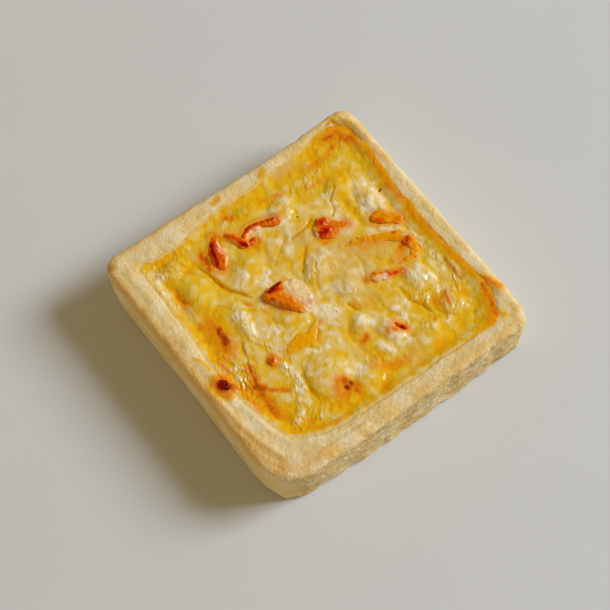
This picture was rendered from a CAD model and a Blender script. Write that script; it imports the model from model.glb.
"""Looks of the mini ham and bacon quiche.

The crust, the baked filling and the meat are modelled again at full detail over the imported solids, and
each surface gets its own baked finish. Places and sizes in the lists are in millimetres.
"""

import math

import bmesh
import bpy
import numpy as np
from mathutils import Euler, Matrix, Vector, noise


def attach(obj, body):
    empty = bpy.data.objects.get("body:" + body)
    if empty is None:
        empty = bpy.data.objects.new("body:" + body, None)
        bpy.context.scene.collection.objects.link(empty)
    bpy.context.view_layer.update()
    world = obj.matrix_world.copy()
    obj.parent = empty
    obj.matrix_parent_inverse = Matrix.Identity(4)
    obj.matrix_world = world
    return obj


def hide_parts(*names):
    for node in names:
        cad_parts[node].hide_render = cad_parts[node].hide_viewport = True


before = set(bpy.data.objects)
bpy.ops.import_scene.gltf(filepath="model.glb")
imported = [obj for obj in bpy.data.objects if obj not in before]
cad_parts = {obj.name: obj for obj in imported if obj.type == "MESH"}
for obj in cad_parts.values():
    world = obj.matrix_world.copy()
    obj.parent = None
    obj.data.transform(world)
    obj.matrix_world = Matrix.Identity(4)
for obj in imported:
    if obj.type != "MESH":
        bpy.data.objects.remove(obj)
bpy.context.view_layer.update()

MM = 0.001

# Sizes of the case, the same as the solids'
WIDTH = 95.0
HALF = WIDTH / 2
HEIGHT = 22.5
CORNER_RADII = {"far": 4.5, "left": 5.0, "near": 12.5, "right": 4.0}
SIDE_BOWS = {"+x": 0.7, "+y": 0.1, "-x": 0.4, "-y": 0.6}
WALL_DRAFT = 1.1
FOOT_ROUND = 1.0
SHOULDER_ROUND = 2.1
SHOULDER_SHARE = 0.45
LIP_ROUND = 0.7
LIP_DROP = 0.2
FLOOR_HEIGHT = 3.5
CAVITY_DRAFT = 1.8
CAVITY_RING_DEPTH = 3.0
RIM_WAVE = 0.35
RIM_WAVE_SIZE = 11.0
ARC_STEPS = 8
SIDE_STEPS = 25

# How far the rim and the foot stand out from that outline, by angle in degrees
RIM_OFFSETS = (
    (0, 0.3), (25, 0.3), (40, 0.6), (45, 0.8), (52, 0.0), (60, -0.5), (70, -0.6), (80, -0.4), (92, -0.3),
    (102, 0.2), (115, 0.5), (124, 0.8), (135, 1.0), (145, 0.4), (165, 0.0), (215, 0.0), (290, 0.1),
    (308, 0.5), (315, 0.9), (322, 1.1), (335, 0.9), (348, 0.4),
)
FOOT_OFFSETS = (
    (0, 0.2), (45, 0.2), (90, 0.0), (135, 0.3), (148, 0.5), (165, 0.2), (190, 0.1), (205, 0.2), (218, 0.1),
    (223, 0.4), (226, 0.4), (231, -0.2), (240, 0.1), (248, 0.5), (280, 0.7), (295, 0.5), (305, 0.1),
    (315, 0.0), (330, 0.2),
)

# The upright edge at the near corner: its angle, half width in degrees, how far it stands out
CORNER_EDGE = (-135.0, 1.7, 0.6)

# Fineness of the new meshes
CASE_STATIONS = 48
CORNER_CROWDING = 0.45
WALL_RINGS = 8
SHOULDER_STEPS = 4
RIM_STEPS = 4
CASE_LEVELS = 2
FILLING_CELLS = 300
STRIP_STEPS = 6
STRIP_CORNERS = 12
SLAB_STEPS = 5
KNOB_RINGS = 7
KNOB_CORNERS = 14
KNOB_REACH = 0.46 * math.pi
MEAT_LEVELS = 2

# The inner edge of the rim, anticlockwise from the middle of the right side, and its small waves
CAVITY_EDGE = (
    (41.9, 0), (42.4, 6), (42.0, 12), (43.4, 24), (44.1, 33), (42.8, 39.8), (38.5, 43.2),
    (31, 43.8), (22, 42.7), (10, 41.6), (0, 41.4), (-8, 41.6), (-17, 40.5), (-24, 38.9),
    (-31, 38.9), (-35, 39.8), (-38.6, 41.0), (-39.2, 37.6), (-39.4, 28), (-39.6, 15), (-39.8, 5),
    (-40.1, -5), (-39.4, -14), (-38, -21), (-36.8, -28), (-35.6, -32), (-33.6, -35.2), (-29, -37.8),
    (-24, -39.6), (-17, -40.6), (-8, -41), (5, -41.2), (20, -41.5), (33, -41.8), (38.8, -41.2),
    (41.5, -36.8), (44, -31), (43.5, -22), (42.3, -10),
)
CAVITY_WAVE = 0.35
CAVITY_WAVE_SIZE = 3.5

# Marks on the rim and walls: route, half width, strength
RIM_BROWN = (
    (((-47.6, 47.2), (-46.2, 44.6)), 2.0, 1.1),
    (((-47.2, 42), (-47.8, 20), (-47.6, 0), (-47, -20), (-45.6, -36)), 2.4, 0.62),
    (((-46.2, 26), (-46.6, 12)), 1.8, 0.6),
    (((-46.4, -26), (-45, -35), (-42, -42)), 1.6, 0.9),
    (((-45.6, -14), (-45, -24), (-43, -34), (-41.4, -40)), 2.0, 0.8),
    (((43.4, 47), (46.6, 43.4)), 1.6, 0.5),
    (((46.4, -42), (43, -46)), 2.2, 0.5),
    (((-6, 47), (-20, 46.8), (-38, 46.6)), 1.9, 0.5),
    (((-46.5, 14), (-46.4, -8), (-45.6, -22), (-44, -36)), 3.0, 0.75),
    (((-42.6, -1), (-42.4, -13)), 1.8, 0.5),
    (((-44, -38), (-38, -44.6), (-26, -45.6)), 2.6, 0.65),
    (((-36, -41.6), (-20, -42), (-8, -42)), 2.0, 0.35),
    (((-30, -46.6), (0, -46.8), (42, -46.6)), 1.8, 0.42),
    (((46, 40), (46.4, 22)), 2.2, 0.5),
    (((45.4, -36), (46, -30)), 2.2, 0.4),
    (((-38, 46), (-28, 46.6)), 1.8, 0.45),
    (((-8, 46.4), (-4, 46)), 1.6, 0.45),
    (((36, 45), (46, 46)), 2.2, 0.65),
)
RIM_CRACKS = (
    (((40.4, 45.4), (41.2, 43.2), (42, 41), (43.4, 38.4)), 0.7, 1.0),
    (((37.4, 44.8), (38.8, 45.4), (40.2, 45.2)), 0.6, 0.6),
    (((40.4, 41.6), (41.6, 39.6)), 0.5, 0.7),
    (((43.8, -32.4), (42.2, -36), (40, -40)), 0.8, 0.55),
    (((-40.4, -39.4), (-36, -42.4)), 0.6, 0.3),
)
RIM_RIDGES = (
    (
        ((-45.4, -8), (-44.6, -20), (-42.8, -31), (-40, -38.6), (-35.6, -42.6), (-28, -44.4), (-14, -45)),
        0.9, 0.45,
    ),
    (((-41.2, -15), (-39.6, -24), (-37.8, -31.6), (-35.4, -36.4), (-31, -39)), 0.7, 0.25),
    (((43.4, 45.4), (45.4, 41), (45.8, 34)), 1.6, 0.8),
    (((44, 44), (41, 46)), 1.6, 0.6),
    (((-43, 40), (-42.8, 20), (-42.6, 0), (-41.8, -16)), 1.4, 0.35),
    (((46, -36), (45.6, -28)), 1.8, 0.5),
)
RIM_YOLK = (
    (((-7.6, 44.2), (-5.4, 44.6)), 1.3, 1.0),
    (((10.2, 42.8), (12, 43.6)), 1.5, 1.0),
    (((-43.4, 3.6), (-42.2, 2)), 0.8, 0.9),
    (((-41.8, 1), (-41.6, -2)), 1.1, 0.8),
    (((-42.2, -9), (-41.8, -11.6)), 1.9, 2.4),
    (((40.6, -39), (41.6, -42)), 1.3, 0.9),
    (((-42.4, -5.8), (-43.2, -8.4), (-42, -11.4)), 1.9, 1.3),
    (((-41.6, -8), (-41.4, -9.6)), 2.9, 3.6),
    (((-43.4, -1.4), (-43.2, -1.8)), 0.3, 0.6),
    (((44.6, -28.4), (46.2, -31.4), (47, -33.4)), 1.8, 1.3),
    (((2, -44.6), (2.6, -44.6)), 0.35, 0.8),
    (((-9, -44.4), (-8.8, -44.8)), 0.3, 0.6),
    (((24, -43.6), (24.4, -43.2)), 0.35, 0.6),
    (((40.4, 45.6), (43, 43.4), (44.6, 40.8)), 1.5, 0.55),
)

# The greatest strength on the rim, where its juice is toasted brown
YOLK_TOP = 4.0

# Relief of the crust: size of the noise, height, seed; and how deep its cracks are
CRUST_WAVES = ((6.0, 0.26, 0.0), (2.6, 0.17, 3.0), (1.1, 0.08, 9.0))
WALL_WAVES = ((1.6, 0.12, 5.0),)
CRUMBLY_WAVES = ((2.8, 0.48, 7.0),)
FOOT_WAVES = ((3.2, 0.55, 13.0),)
CRACK_DEPTH = 0.5

# Where the relief starts: heights above the foot, and shares of the inner edge
RELIEF_HEIGHTS = (0.0, 1.5)
RELIEF_SHARES = (0.97, 1.0)

# Where the crumbly side starts, as shares of half the width: towards -Y, and along X
CRUMBLY_NEAR = (0.88, 0.95)
CRUMBLY_LEFT = (-0.9, -0.8)

# Crumbs of the crumbly side: how the layers flatten them, their sizes, height, and how noise pushes them;
# then how high its foot reaches, and how far it is tucked in
LAYERS = (0.6, 0.6, 1.2)
CRUMB_SIZES = (1.3, 0.8)
CRUMB_HEIGHT = 0.52
CRUMB_PUSH = 0.8
CRUMB_PUSH_SIZE = 1.4
FOOT_TO = 5.0
FOOT_TUCK = 0.1

# How dark the crevices between the crumbs are: everywhere, by the noise, and below a level of the crumbs
CREVICE_LEAST = 0.20
CREVICE_WAVES = ((3.4, 0.4, 17.0),)
CREVICE_DEPTH = 0.8
CREVICE_LEVEL = 0.65

# Where the rim begins and the wall ends: heights, shares of the outline, and the noise at the wall's top
RIM_HEIGHTS = (18.0, 20.0)
BROWNED_HEIGHTS = (13.0, 19.0)
WALL_TOP = (20.2, 23.0)
WALL_TOP_WAVES = ((2.6, 1.5, 27.0), (0.9, 0.6, 28.0))
WALL_SHARES = (0.93, 0.97)

# How far the egg's fat soaks into the rim's inner edge
SOAKED = 0.85
SOAKED_SHARES = (0.985, 1.028)
SOAKED_WAVES = ((3.0, 0.022, 0.0), (0.9, 0.012, 4.0))

# The filling's level, its dome and the bank where it climbs the crust, wider and higher on the right; then
# how far it runs into the crust, and how much of its outline its foot has
FILLING_LEVEL = HEIGHT - 1.7
MIDDLE_DOME = 0.7
BANK_WIDTH = 4.2
BANK_HEIGHT = 0.9
RIGHT_FROM = 26.0
RIGHT_TO = 39.0
RIGHT_WIDENING = 2.4
RIGHT_BANK = 0.45
EDGE_OVERLAP = 0.8
FOOT_SHARE = 0.97

# Rounded lumps of the filling: middle, half lengths, turn in degrees, height
LUMPS = (
    ((-12, 19), (8, 6), 30, 1.4),
    ((-30, 21), (6, 8), 0, 1.2),
    ((-31, 33), (7, 4), 0, 1.1),
    ((-24, 4), (3.6, 8), -20, 0.6),
    ((6, 5), (6, 8), -30, 1.2),
    ((10, -3), (5, 7), 0, 1.1),
    ((-11, -3), (6, 6), 0, 0.8),
    ((-13, -25), (10, 9), 0, 1.6),
    ((5, -17.5), (4, 4), 0, 0.8),
    ((11, -24), (4, 7), 20, 1.0),
    ((30, -15), (6, 6), 0, 1.1),
    ((33, -28), (7, 5), 0, 0.8),
    ((28, 25), (6, 5), 45, 1.1),
    ((34, 15), (4, 9), 10, 1.2),
    ((9, 29), (7, 5), 30, 1.0),
    ((0, 36), (9, 4), 0, 0.8),
    ((-3, -33), (7, 5), 0, 1.0),
    ((20, -33), (8, 5), 0, 0.9),
)

# Sharp folds in the filling: route, half width, depth share, how much higher the left side of the route is
CREASES = (
    (((-24.4, 29), (-23, 25.6), (-22.6, 21), (-21, 16.6), (-18.6, 13.4), (-16.8, 10.4)), 0.45, 0.7, 0.5),
    (((-22.8, 9), (-25.4, 4), (-26.6, -1), (-24.4, -4.4)), 0.6, 0.25, 0.15),
    (((-24.2, -0.6), (-22.6, -6), (-20.2, -11)), 0.6, 0.25, 0.15),
    (((-35.4, 30.4), (-35, 24), (-33.6, 19.6)), 0.9, 0.2, 0.2),
    (((-31.2, -10), (-33, -15.4), (-33.4, -22), (-34.2, -27.4)), 1.4, 0.15, 0.25),
    (((-20, -30), (-20.4, -24.6), (-19.4, -20.6), (-17, -18.8), (-15.4, -17.6)), 0.8, 0.35, -0.2),
    (((20.6, 17.8), (22.2, 19.4), (23.4, 22.8), (26.4, 25.2), (27, 26.6)), 0.35, 0.85, 0.2),
    (((5.2, 19.2), (9.4, 19.4), (12, 20.2), (14, 21)), 0.45, 0.95, 0.1),
    (((0.6, 7), (3.6, 10.6), (7, 14.2)), 0.45, 0.6, 0.2),
    (((-4.6, 14.6), (-1.4, 17.2), (3.4, 20.6)), 0.5, 0.6, 0.3),
    (((6, -9.8), (6.6, -12), (7.4, -13.2)), 0.65, 0.75, 0.3),
    (((1.6, -14.6), (-0.6, -18), (-0.6, -23), (0.6, -28)), 0.8, 0.2, -0.2),
    (((22.4, -15), (22.2, -20), (24, -23.4), (25, -27)), 0.7, 0.5, 0.4),
    (((33.8, -9.6), (33.6, -14), (34.2, -20)), 0.8, 0.35, -0.1),
    (((-17, 5), (-16, 0.6), (-17, -3)), 0.5, 0.3, -0.3),
    (((26.4, 22), (25.8, 16), (27, 9)), 0.9, 0.2, 0.1),
    (((-29, 30.4), (-25.6, 27.4), (-22.6, 26.4)), 0.6, 0.3, 0.5),
    (((-14, -8.2), (-8, -7.6), (-3.4, -6.2)), 0.6, 0.2, 0.4),
    (((-28.4, -0.6), (-29.8, -6), (-32.4, -11.4)), 0.6, 0.4, 0.5),
    (((14, -13.4), (14.6, -19), (19, -26)), 0.6, 0.3, 0.2),
    (((17.6, 4), (17.4, -1), (15.6, -5.4)), 0.6, 0.2, -0.4),
    (((0.4, -2.6), (2.4, 3), (6, 8.2)), 0.5, 0.2, 0.5),
    (((-29, -31.6), (-22.4, -28.6), (-20.4, -22)), 0.6, 0.2, 0.2),
    (((27, -28), (31, -33), (36, -34.6)), 0.6, 0.2, 0.5),
)

# Steps beside the folds: how far they reach, how soft the step itself is, where they fade along the fold as a
# share of its half length, and how far beyond its end
LEDGE_REACH = 2.6
LEDGE_SOFTNESS = 0.35
LEDGE_FADES_FROM = 0.8
LEDGE_FADES_OVER = 1.5

# Pale curds of cheese, raised: route, half width, strength
CREAM = (
    (((-38, 34), (-37.6, 27), (-37.4, 22)), 1.2, 0.5),
    (((-35.7, 34.5), (-35.2, 32.5)), 0.9, 0.7),
    (((-33, 31.8), (-30.6, 33)), 1.2, 0.9),
    (((-30.8, 35), (-29.8, 33)), 0.8, 0.6),
    (((-33, 38), (-31.5, 38.2)), 0.7, 0.5),
    (((-27, 39), (-24.8, 38.4), (-23, 36.4)), 0.9, 0.8),
    (((-20.8, 38.4), (-18, 38.9)), 0.8, 0.6),
    (((-9, 36.7), (-7, 37.3)), 0.7, 0.9),
    (((-3.5, 38.8), (0, 39.6)), 1.0, 0.5),
    (((-32.8, 28), (-28.6, 28.2)), 1.1, 0.6),
    (((-27, 25.5), (-25, 20)), 2.4, 0.45),
    (((-34.6, 18.8), (-33.6, 13.2)), 1.2, 0.7),
    (((-21.6, 9), (-21.6, 6), (-23.2, 2), (-25, -2)), 1.8, 0.35),
    (((-16.8, 14.2), (-14, 17.6)), 1.0, 0.9),
    (((-10.6, 10.8), (-9, 13), (-7.6, 15.2)), 1.2, 0.9),
    (((-14.6, 30), (-14, 27), (-13.4, 24.8)), 1.0, 0.8),
    (((-12, 18.5), (-8.4, 21.2)), 2.0, 0.25),
    (((0.2, 20.8), (2.4, 22.4)), 1.3, 1.0),
    (((5.2, 20.5), (7.2, 23.4), (10.7, 28), (12.4, 32.6)), 1.2, 0.9),
    (((-3.2, 28.4), (-0.8, 28.6)), 1.0, 0.8),
    (((14.6, 35.4), (16.4, 35.9)), 0.7, 0.5),
    (((19.8, 31), (21.4, 32.2)), 0.8, 0.6),
    (((25.8, 32.6), (27.2, 33.8)), 0.6, 0.6),
    (((22.8, 36.6), (25.8, 38)), 0.8, 0.9),
    (((29.4, 38.4), (32, 39.4)), 0.7, 0.5),
    (((32.2, 31.2), (34.6, 34)), 0.8, 0.7),
    (((23.4, 25.2), (26, 27.6)), 1.1, 0.6),
    (((34.8, 26.8), (36.8, 29.4)), 0.9, 0.7),
    (((33.6, 25), (36.4, 20), (36.4, 14)), 2.6, 0.15),
    (((31, 12.8), (34, 16.2)), 1.0, 0.7),
    (((17, 22), (20, 24)), 2.6, 0.4),
    (((18.8, 16.4), (20.8, 17.4)), 0.9, 0.8),
    (((11, 17.8), (12.6, 17)), 0.9, 0.7),
    (((30.4, 5.4), (34.2, 2.6), (35.4, 1)), 0.9, 0.9),
    (((36.6, -1.6), (37.4, -6)), 0.8, 0.6),
    (((6, 5.8), (10, 9.4)), 1.5, 0.8),
    (((1, 4.6), (4.2, 9.6)), 0.9, 0.8),
    (((9.8, 2.8), (11.4, 5)), 1.0, 0.6),
    (((7.4, -5.6), (10.6, -5.2), (12.6, -7.4)), 1.4, 0.8),
    (((1, -2.6), (3.2, -1.4)), 1.1, 0.6),
    (((-36.6, -3), (-35.5, -9.6)), 0.7, 1.0),
    (((-33.6, -4.6), (-33, -8)), 0.6, 0.7),
    (((-26.8, 0), (-31, -8.2)), 0.8, 0.9),
    (((-31.8, -2), (-31.4, -4.4)), 0.7, 0.5),
    (((-39.4, -12), (-38.6, -13.2)), 0.7, 0.6),
    (((-28.6, -10), (-27.4, -15)), 1.8, 0.45),
    (((-22.8, -11.8), (-22.3, -15)), 0.6, 1.0),
    (
        ((-20.6, -9.8), (-22.4, -15.2), (-21.2, -19), (-21.8, -23.4), (-25.6, -27.4), (-27.4, -31.4)),
        1.4, 0.5,
    ),
    (((-30.2, -30.8), (-28, -33.4)), 0.9, 0.8),
    (((-23.8, -33.4), (-22.8, -35.2)), 0.7, 0.6),
    (((-21.2, -31.8), (-20.2, -33.4)), 0.7, 0.6),
    (((-18, -3), (-16.6, -6)), 2.4, 0.6),
    (((-16, -21), (-12, -23), (-10, -27)), 3.6, 0.5),
    (((-18.6, -27), (-14, -28.4)), 2.0, 0.4),
    (((-12, -16.2), (-8.2, -17.2)), 0.8, 0.9),
    (((-4, -5.6), (-1.4, -10), (-2.6, -14)), 2.6, 0.65),
    (((-0.6, -10.6), (0.4, -13)), 1.8, 0.6),
    (((-4.8, -29.2), (-3.6, -33)), 1.6, 0.7),
    (((-3.2, -35.4), (-0.8, -35.8)), 0.9, 0.6),
    (((5.4, -15.6), (6.2, -20)), 1.8, 0.6),
    (((8.2, -6.6), (8.8, -11.4)), 1.6, 0.5),
    (((20.8, -14.6), (20.8, -21.2), (19, -24.8)), 1.0, 0.8),
    (((16.8, -19), (17.2, -23), (17.6, -26.8)), 1.3, 0.7),
    (((11.8, -21.2), (11.2, -26.4)), 1.2, 0.7),
    (((5.4, -26.4), (7.4, -30.6)), 1.5, 0.7),
    (((12.6, -29.4), (14, -32)), 1.2, 0.6),
    (((16.4, -34.4), (17.6, -32.4)), 1.0, 0.7),
    (((21, -30), (23, -31.6)), 1.1, 0.7),
    (((27, -33), (29.2, -31.2)), 1.1, 1.0),
    (((30.2, -30.4), (31.6, -28.8)), 0.8, 0.8),
    (((25.8, -23.6), (27.6, -21.4)), 0.7, 0.7),
    (((28.4, -12.6), (29.6, -17.4), (32.4, -18.6)), 2.2, 0.3),
    (((36.4, -18), (38.4, -13.4)), 0.8, 0.8),
    (((40.4, -15.8), (40.2, -20), (39.4, -25)), 0.7, 0.8),
    (((37, -22), (38.8, -24)), 0.8, 0.6),
    (((38.2, -26), (39, -28.4)), 0.7, 0.5),
    (((33.6, -31.4), (35, -30.6)), 0.9, 0.5),
    (((31, -36.4), (34, -36)), 1.2, 0.4),
    (((23, 26), (24.6, 21)), 2.4, 0.4),
    (((11.6, -22), (12.4, -27)), 2.2, 0.5),
    (((5.6, -16.4), (6.4, -20)), 2.2, 0.7),
    (((-24, 9), (-24.6, 3)), 2.2, 0.6),
    (((-13, 36.6), (-11, 35.6)), 2.0, 0.5),
    (((29.6, 13.4), (31.6, 12.6)), 1.6, 0.6),
    (((6, 31.6), (7.4, 29.8)), 1.6, 0.6),
)

# Broad pale parts of the filling: route, half width, strength
PALE = (
    (((-36.8, 37), (-36.6, 15)), 1.9, 0.9),
    (((-25, 36.5), (-10, 36)), 2.4, 0.8),
    (((11, 36.5), (19, 36)), 2.2, 0.7),
    (((-22.8, 13), (-22.8, 8.4), (-24.6, -3)), 2.4, 1.0),
    (((-12, 13), (-5, 12.4)), 2.6, 0.9),
    (((23.4, 25), (23.4, 11)), 2.4, 1.0),
    (((29, 25), (36.5, 23), (36, 10)), 2.8, 0.75),
    (((-17.6, -3.6), (-18, -8)), 2.8, 1.2),
    (((-0.4, -8.6), (0.6, -13)), 3.0, 1.4),
    (((24, -11), (31, -14)), 2.8, 0.8),
    (((36.8, -1), (37.2, -6), (36.4, -14)), 1.7, 1.0),
    (((-7, -17), (-5, -19)), 2.6, 0.6),
    (((16.6, -17), (21, -19)), 2.6, 0.8),
    (((29, -17), (36.6, -18), (36.8, -25)), 2.2, 0.7),
    (((11.6, -22), (12.4, -31)), 2.2, 1.0),
    (((-1, -23.5), (1, -25)), 2.0, 0.7),
    (((-6.8, -28.6), (-6, -37)), 2.4, 1.3),
    (((9, -36.4), (20, -36)), 2.4, 0.8),
    (((5, 22), (9, 32)), 1.8, 0.6),
    (((-4, 1), (-6, -5)), 2.2, 0.5),
    (((-30, 20), (-30, 24)), 3.0, 0.3),
    (((5.4, 28), (7.4, 32)), 2.0, 1.0),
    (((-13.4, 36.6), (-10, 36)), 2.6, 1.3),
    (((-18.4, 19), (-17.6, 16.6)), 2.2, 0.6),
    (((23.8, 25), (24.6, 17)), 2.2, 0.8),
    (((30.4, 19.4), (30.6, 12)), 2.2, 0.9),
    (((12, 7), (13, 4)), 2.0, 0.8),
    (((5.4, -16), (6.6, -20)), 2.6, 1.1),
    (((-22, -18), (-17, -24)), 2.8, 0.6),
    (((11.4, -23), (12.2, -31)), 2.2, 1.3),
    (((29, -21.6), (31, -22.6)), 1.6, 0.6),
    (((5, -25), (7, -28)), 1.6, 0.6),
    (((-30, -30), (-28, -31)), 2.0, 0.9),
    (((-24.4, -36.4), (-17.4, -36.8)), 2.0, 0.6),
    (((-30.6, 1), (-29.4, -1.4)), 1.8, 0.5),
    (((-19, -30), (-17, -31)), 2.0, 0.6),
    (((5, -36.4), (13, -36)), 2.4, 1.0),
    (((29, -36), (31.6, -36.4)), 2.2, 0.7),
    (((41, -28), (41.4, -32)), 1.6, 0.7),
    (((-36, 19), (-35.6, 16)), 1.8, 0.8),
    (((-24.2, 8.6), (-24.6, 3.6)), 2.4, 1.4),
    (((6.4, 31.6), (6.8, 29.6)), 1.8, 1.2),
    (((5, -16.6), (6.6, -19.4)), 2.4, 1.4),
    (((11.6, -23.4), (12.2, -29)), 2.2, 1.5),
    (((24, 26), (24.2, 23)), 2.0, 1.1),
    (((-13, 37), (-11.6, 35.6)), 2.2, 1.4),
    (((41, -17), (41.2, -19)), 1.4, 1.2),
)

# Golden hollows between the curds: route, half width, strength
GOLD = (
    (((-34.8, 30), (-35, 25), (-34, 20)), 1.2, 0.9),
    (((-34, 38), (-28, 37), (-24, 34)), 2.0, 0.5),
    (((-28, 32.6), (-26.4, 29.4)), 2.0, 0.7),
    (((-20.6, 34), (-20.4, 28)), 1.8, 0.9),
    (((-17, 38), (-10, 38)), 1.8, 0.5),
    (((-4.6, 34.6), (1, 34.2), (6, 35)), 2.4, 0.6),
    (((-25, 28), (-22.8, 25), (-22.2, 21), (-20.8, 15.6), (-17.8, 12.6)), 1.0, 1.0),
    (((-32, 15.6), (-28, 12), (-25, 8.6)), 2.8, 0.7),
    (((-38, 18), (-37.4, 8), (-37.4, -1)), 1.7, 0.9),
    (((-13.6, 22), (-11, 22.4)), 1.8, 0.7),
    (((-6.4, 15.4), (-1, 18.2), (3.4, 22)), 1.5, 0.7),
    (((-9, 28), (-8, 22)), 1.3, 0.5),
    (((5, 18.8), (12, 19.4), (14, 20.4)), 0.8, 0.5),
    (((20.6, 18.2), (22.8, 20), (23.8, 22.4), (25.4, 24.2)), 0.8, 0.5),
    (((7.4, 15), (4, 11.6), (1, 8.4)), 0.8, 0.7),
    (((27.4, 21.6), (26.6, 10.8)), 1.5, 0.9),
    (((20, 27), (25, 27.4), (31, 24.8)), 1.4, 0.6),
    (((16, 38), (24, 34.6), (28, 31.4)), 1.9, 0.6),
    (((30, 35.8), (36.6, 38)), 2.2, 0.5),
    (((38, 26), (38.8, 17)), 1.2, 0.5),
    (((22.6, -2), (24.4, -6.6)), 1.3, 0.8),
    (((17.4, 8.6), (16.6, 3)), 1.6, 0.5),
    (((36.8, 0), (36.6, -8)), 1.3, 0.5),
    (((-20.6, -13), (-19.8, -14.6)), 0.8, 0.8),
    (((-19.4, -20.6), (-20.4, -25.6), (-19, -30.6)), 1.1, 0.9),
    (((-27.8, -3.4), (-29.8, -8), (-32, -11.6)), 1.3, 0.8),
    (((-36.6, -12), (-36.2, -20), (-34.8, -27)), 1.8, 0.8),
    (((-30, -28), (-32, -32), (-27, -36)), 2.0, 0.6),
    (((-19, -32), (-14, -32.6)), 2.0, 0.7),
    (((-16, -37), (-8, -37.6), (0, -38)), 1.8, 0.6),
    (((-7, -19.4), (-5.6, -25)), 1.2, 0.4),
    (((2.8, -12.8), (0, -16.4), (0.6, -22), (1.6, -28)), 2.3, 0.9),
    (((5.8, -9.6), (7.6, -13)), 0.9, 1.0),
    (((9.6, -13), (13, -14)), 2.0, 0.5),
    (((14.6, -16), (14.4, -20)), 1.5, 0.5),
    (((22.8, -12), (23, -20), (24.6, -26), (25.2, -35)), 1.3, 0.9),
    (((33.6, -11.6), (33.8, -19.4)), 1.1, 0.9),
    (((28, -22), (27.6, -27)), 1.4, 0.6),
    (((35.4, -22), (36, -28), (37, -33)), 1.8, 0.5),
    (((2.4, -33), (6, -34.6), (11, -36.6)), 2.0, 0.6),
    (((14, -37.8), (22, -37.4), (27, -39)), 1.7, 0.6),
    (((31, -33.6), (36, -36)), 1.6, 0.4),
    (((-36.4, 14), (-35, 9)), 2.8, 0.9),
    (((-6.6, 25.4), (-5.4, 22.4)), 1.8, 0.9),
    (((40.4, 33), (41.6, 27)), 1.8, 0.9),
    (((28, 41), (33, 40.6)), 1.8, 0.9),
)

# Broad golden parts of the filling: route, half width, strength
WASH = (
    (((-34, 36), (-20, 38.5), (0, 38.5), (20, 39), (38, 38)), 5.0, 1.0),
    (((8, 34), (24, 31), (31, 28)), 4.5, 0.7),
    (((-34, 30), (-34, 20), (-34, 8), (-35, 0)), 4.0, 1.0),
    (((-28, 30), (-27, 22), (-29, 12), (-28, 5)), 4.0, 0.6),
    (((-35, -11), (-34, -20), (-31, -29)), 4.2, 1.0),
    (((-28, -3), (-26, -10), (-18, -11)), 3.0, 0.6),
    (((-30, -33), (-15, -36), (0, -36), (20, -37), (39, -37)), 5.0, 1.0),
    (((0, -14), (1, -22), (3, -28)), 3.0, 0.8),
    (((8, -12), (16, -13), (22, -17)), 3.0, 0.6),
    (((22, -23), (28, -27), (38, -27)), 4.0, 0.6),
    (((20, 6), (26, -2), (30, -8)), 4.0, 0.45),
    (((40.5, 24), (41.2, 8), (41.2, -6), (41.5, -20)), 2.4, 0.8),
    (((25.5, 21), (27.5, 10)), 2.4, 0.6),
    (((-11, 24), (-6, 23.5)), 3.0, 0.5),
    (((0, 11), (7, 14)), 3.0, 0.45),
    (((-19, 6), (-17, 1)), 2.4, 0.25),
    (((12.2, 7), (12.6, -7)), 3.0, 0.35),
    (((12, 13), (18.4, 11.4)), 2.6, 0.6),
    (((17, 1), (19, -6)), 2.6, 0.2),
    (((-13, 24), (-12, 17)), 2.6, 0.5),
    (((-27, 13.4), (-25, 11.6)), 1.8, 0.7),
    (((-1, 25.4), (1.6, 23)), 1.8, 0.5),
    (((-30, -7), (-24, -12)), 2.0, 0.4),
    (((-7, 25), (-4.6, 22.4)), 2.6, 1.2),
    (((-25, 31), (-23, 29)), 2.2, 0.9),
    (((-25, 19), (-23.4, 16)), 2.4, 0.5),
    (((6, 12.6), (13, 11.6)), 2.2, 0.45),
    (((-1, 6.6), (1, 6)), 2.0, 0.4),
    (((17.6, 0), (25, 0)), 2.8, 0.4),
    (((24, -5), (25, -8)), 2.4, 0.5),
    (((-0.4, 13), (1, 11)), 2.4, 0.6),
    (((-10, -6), (-4, -7)), 2.4, 0.5),
    (((-26, -5), (-23, -7)), 1.8, 0.45),
    (((-31, -12), (-24, -13)), 2.2, 0.4),
    (((-7, -13), (-5, -11)), 1.8, 0.4),
    (((24, -29), (25, -32)), 1.8, 0.5),
    (((34, -33), (37, -37)), 2.4, 0.5),
    (((-6.4, 25), (-5.6, 22.6)), 2.2, 1.4),
    (((-19, 25), (-17.4, 23)), 1.8, 0.7),
    (((40, 34), (42, 27)), 2.4, 1.2),
    (((12, 13), (18, 12)), 2.2, 0.9),
    (((24, -11), (25, -13)), 2.0, 0.6),
    (((17, -11.4), (20, -13)), 2.2, 0.7),
    (((22.6, -3), (25, -7)), 2.6, 0.8),
)

# Where the skin is thin and beige: route, half width, strength
DULL = (
    (((11, 8), (12, 0), (12, -8)), 3.6, 1.0),
    (((17, 8), (19, -1), (16, -5)), 3.2, 0.9),
    (((22, 1), (27, -2)), 2.8, 0.6),
    (((5, 20), (8, 17)), 2.6, 0.8),
    (((-7, 19), (-4, 17)), 2.6, 0.6),
    (((15, 41), (22, 41)), 1.6, 0.9),
    (((-36, 19), (-35, 16)), 1.8, 0.6),
    (((30, -6), (31, -8)), 2.0, 0.6),
    (((-1, -11), (0, -14)), 2.4, 0.35),
    (((10, -12), (14, -12)), 2.4, 0.5),
    (((39.4, 14), (39.6, 10)), 1.6, 0.8),
    (((0, -24), (-1, -30)), 2.4, 0.4),
    (((10, -35), (14, -37)), 2.4, 0.5),
)

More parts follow.
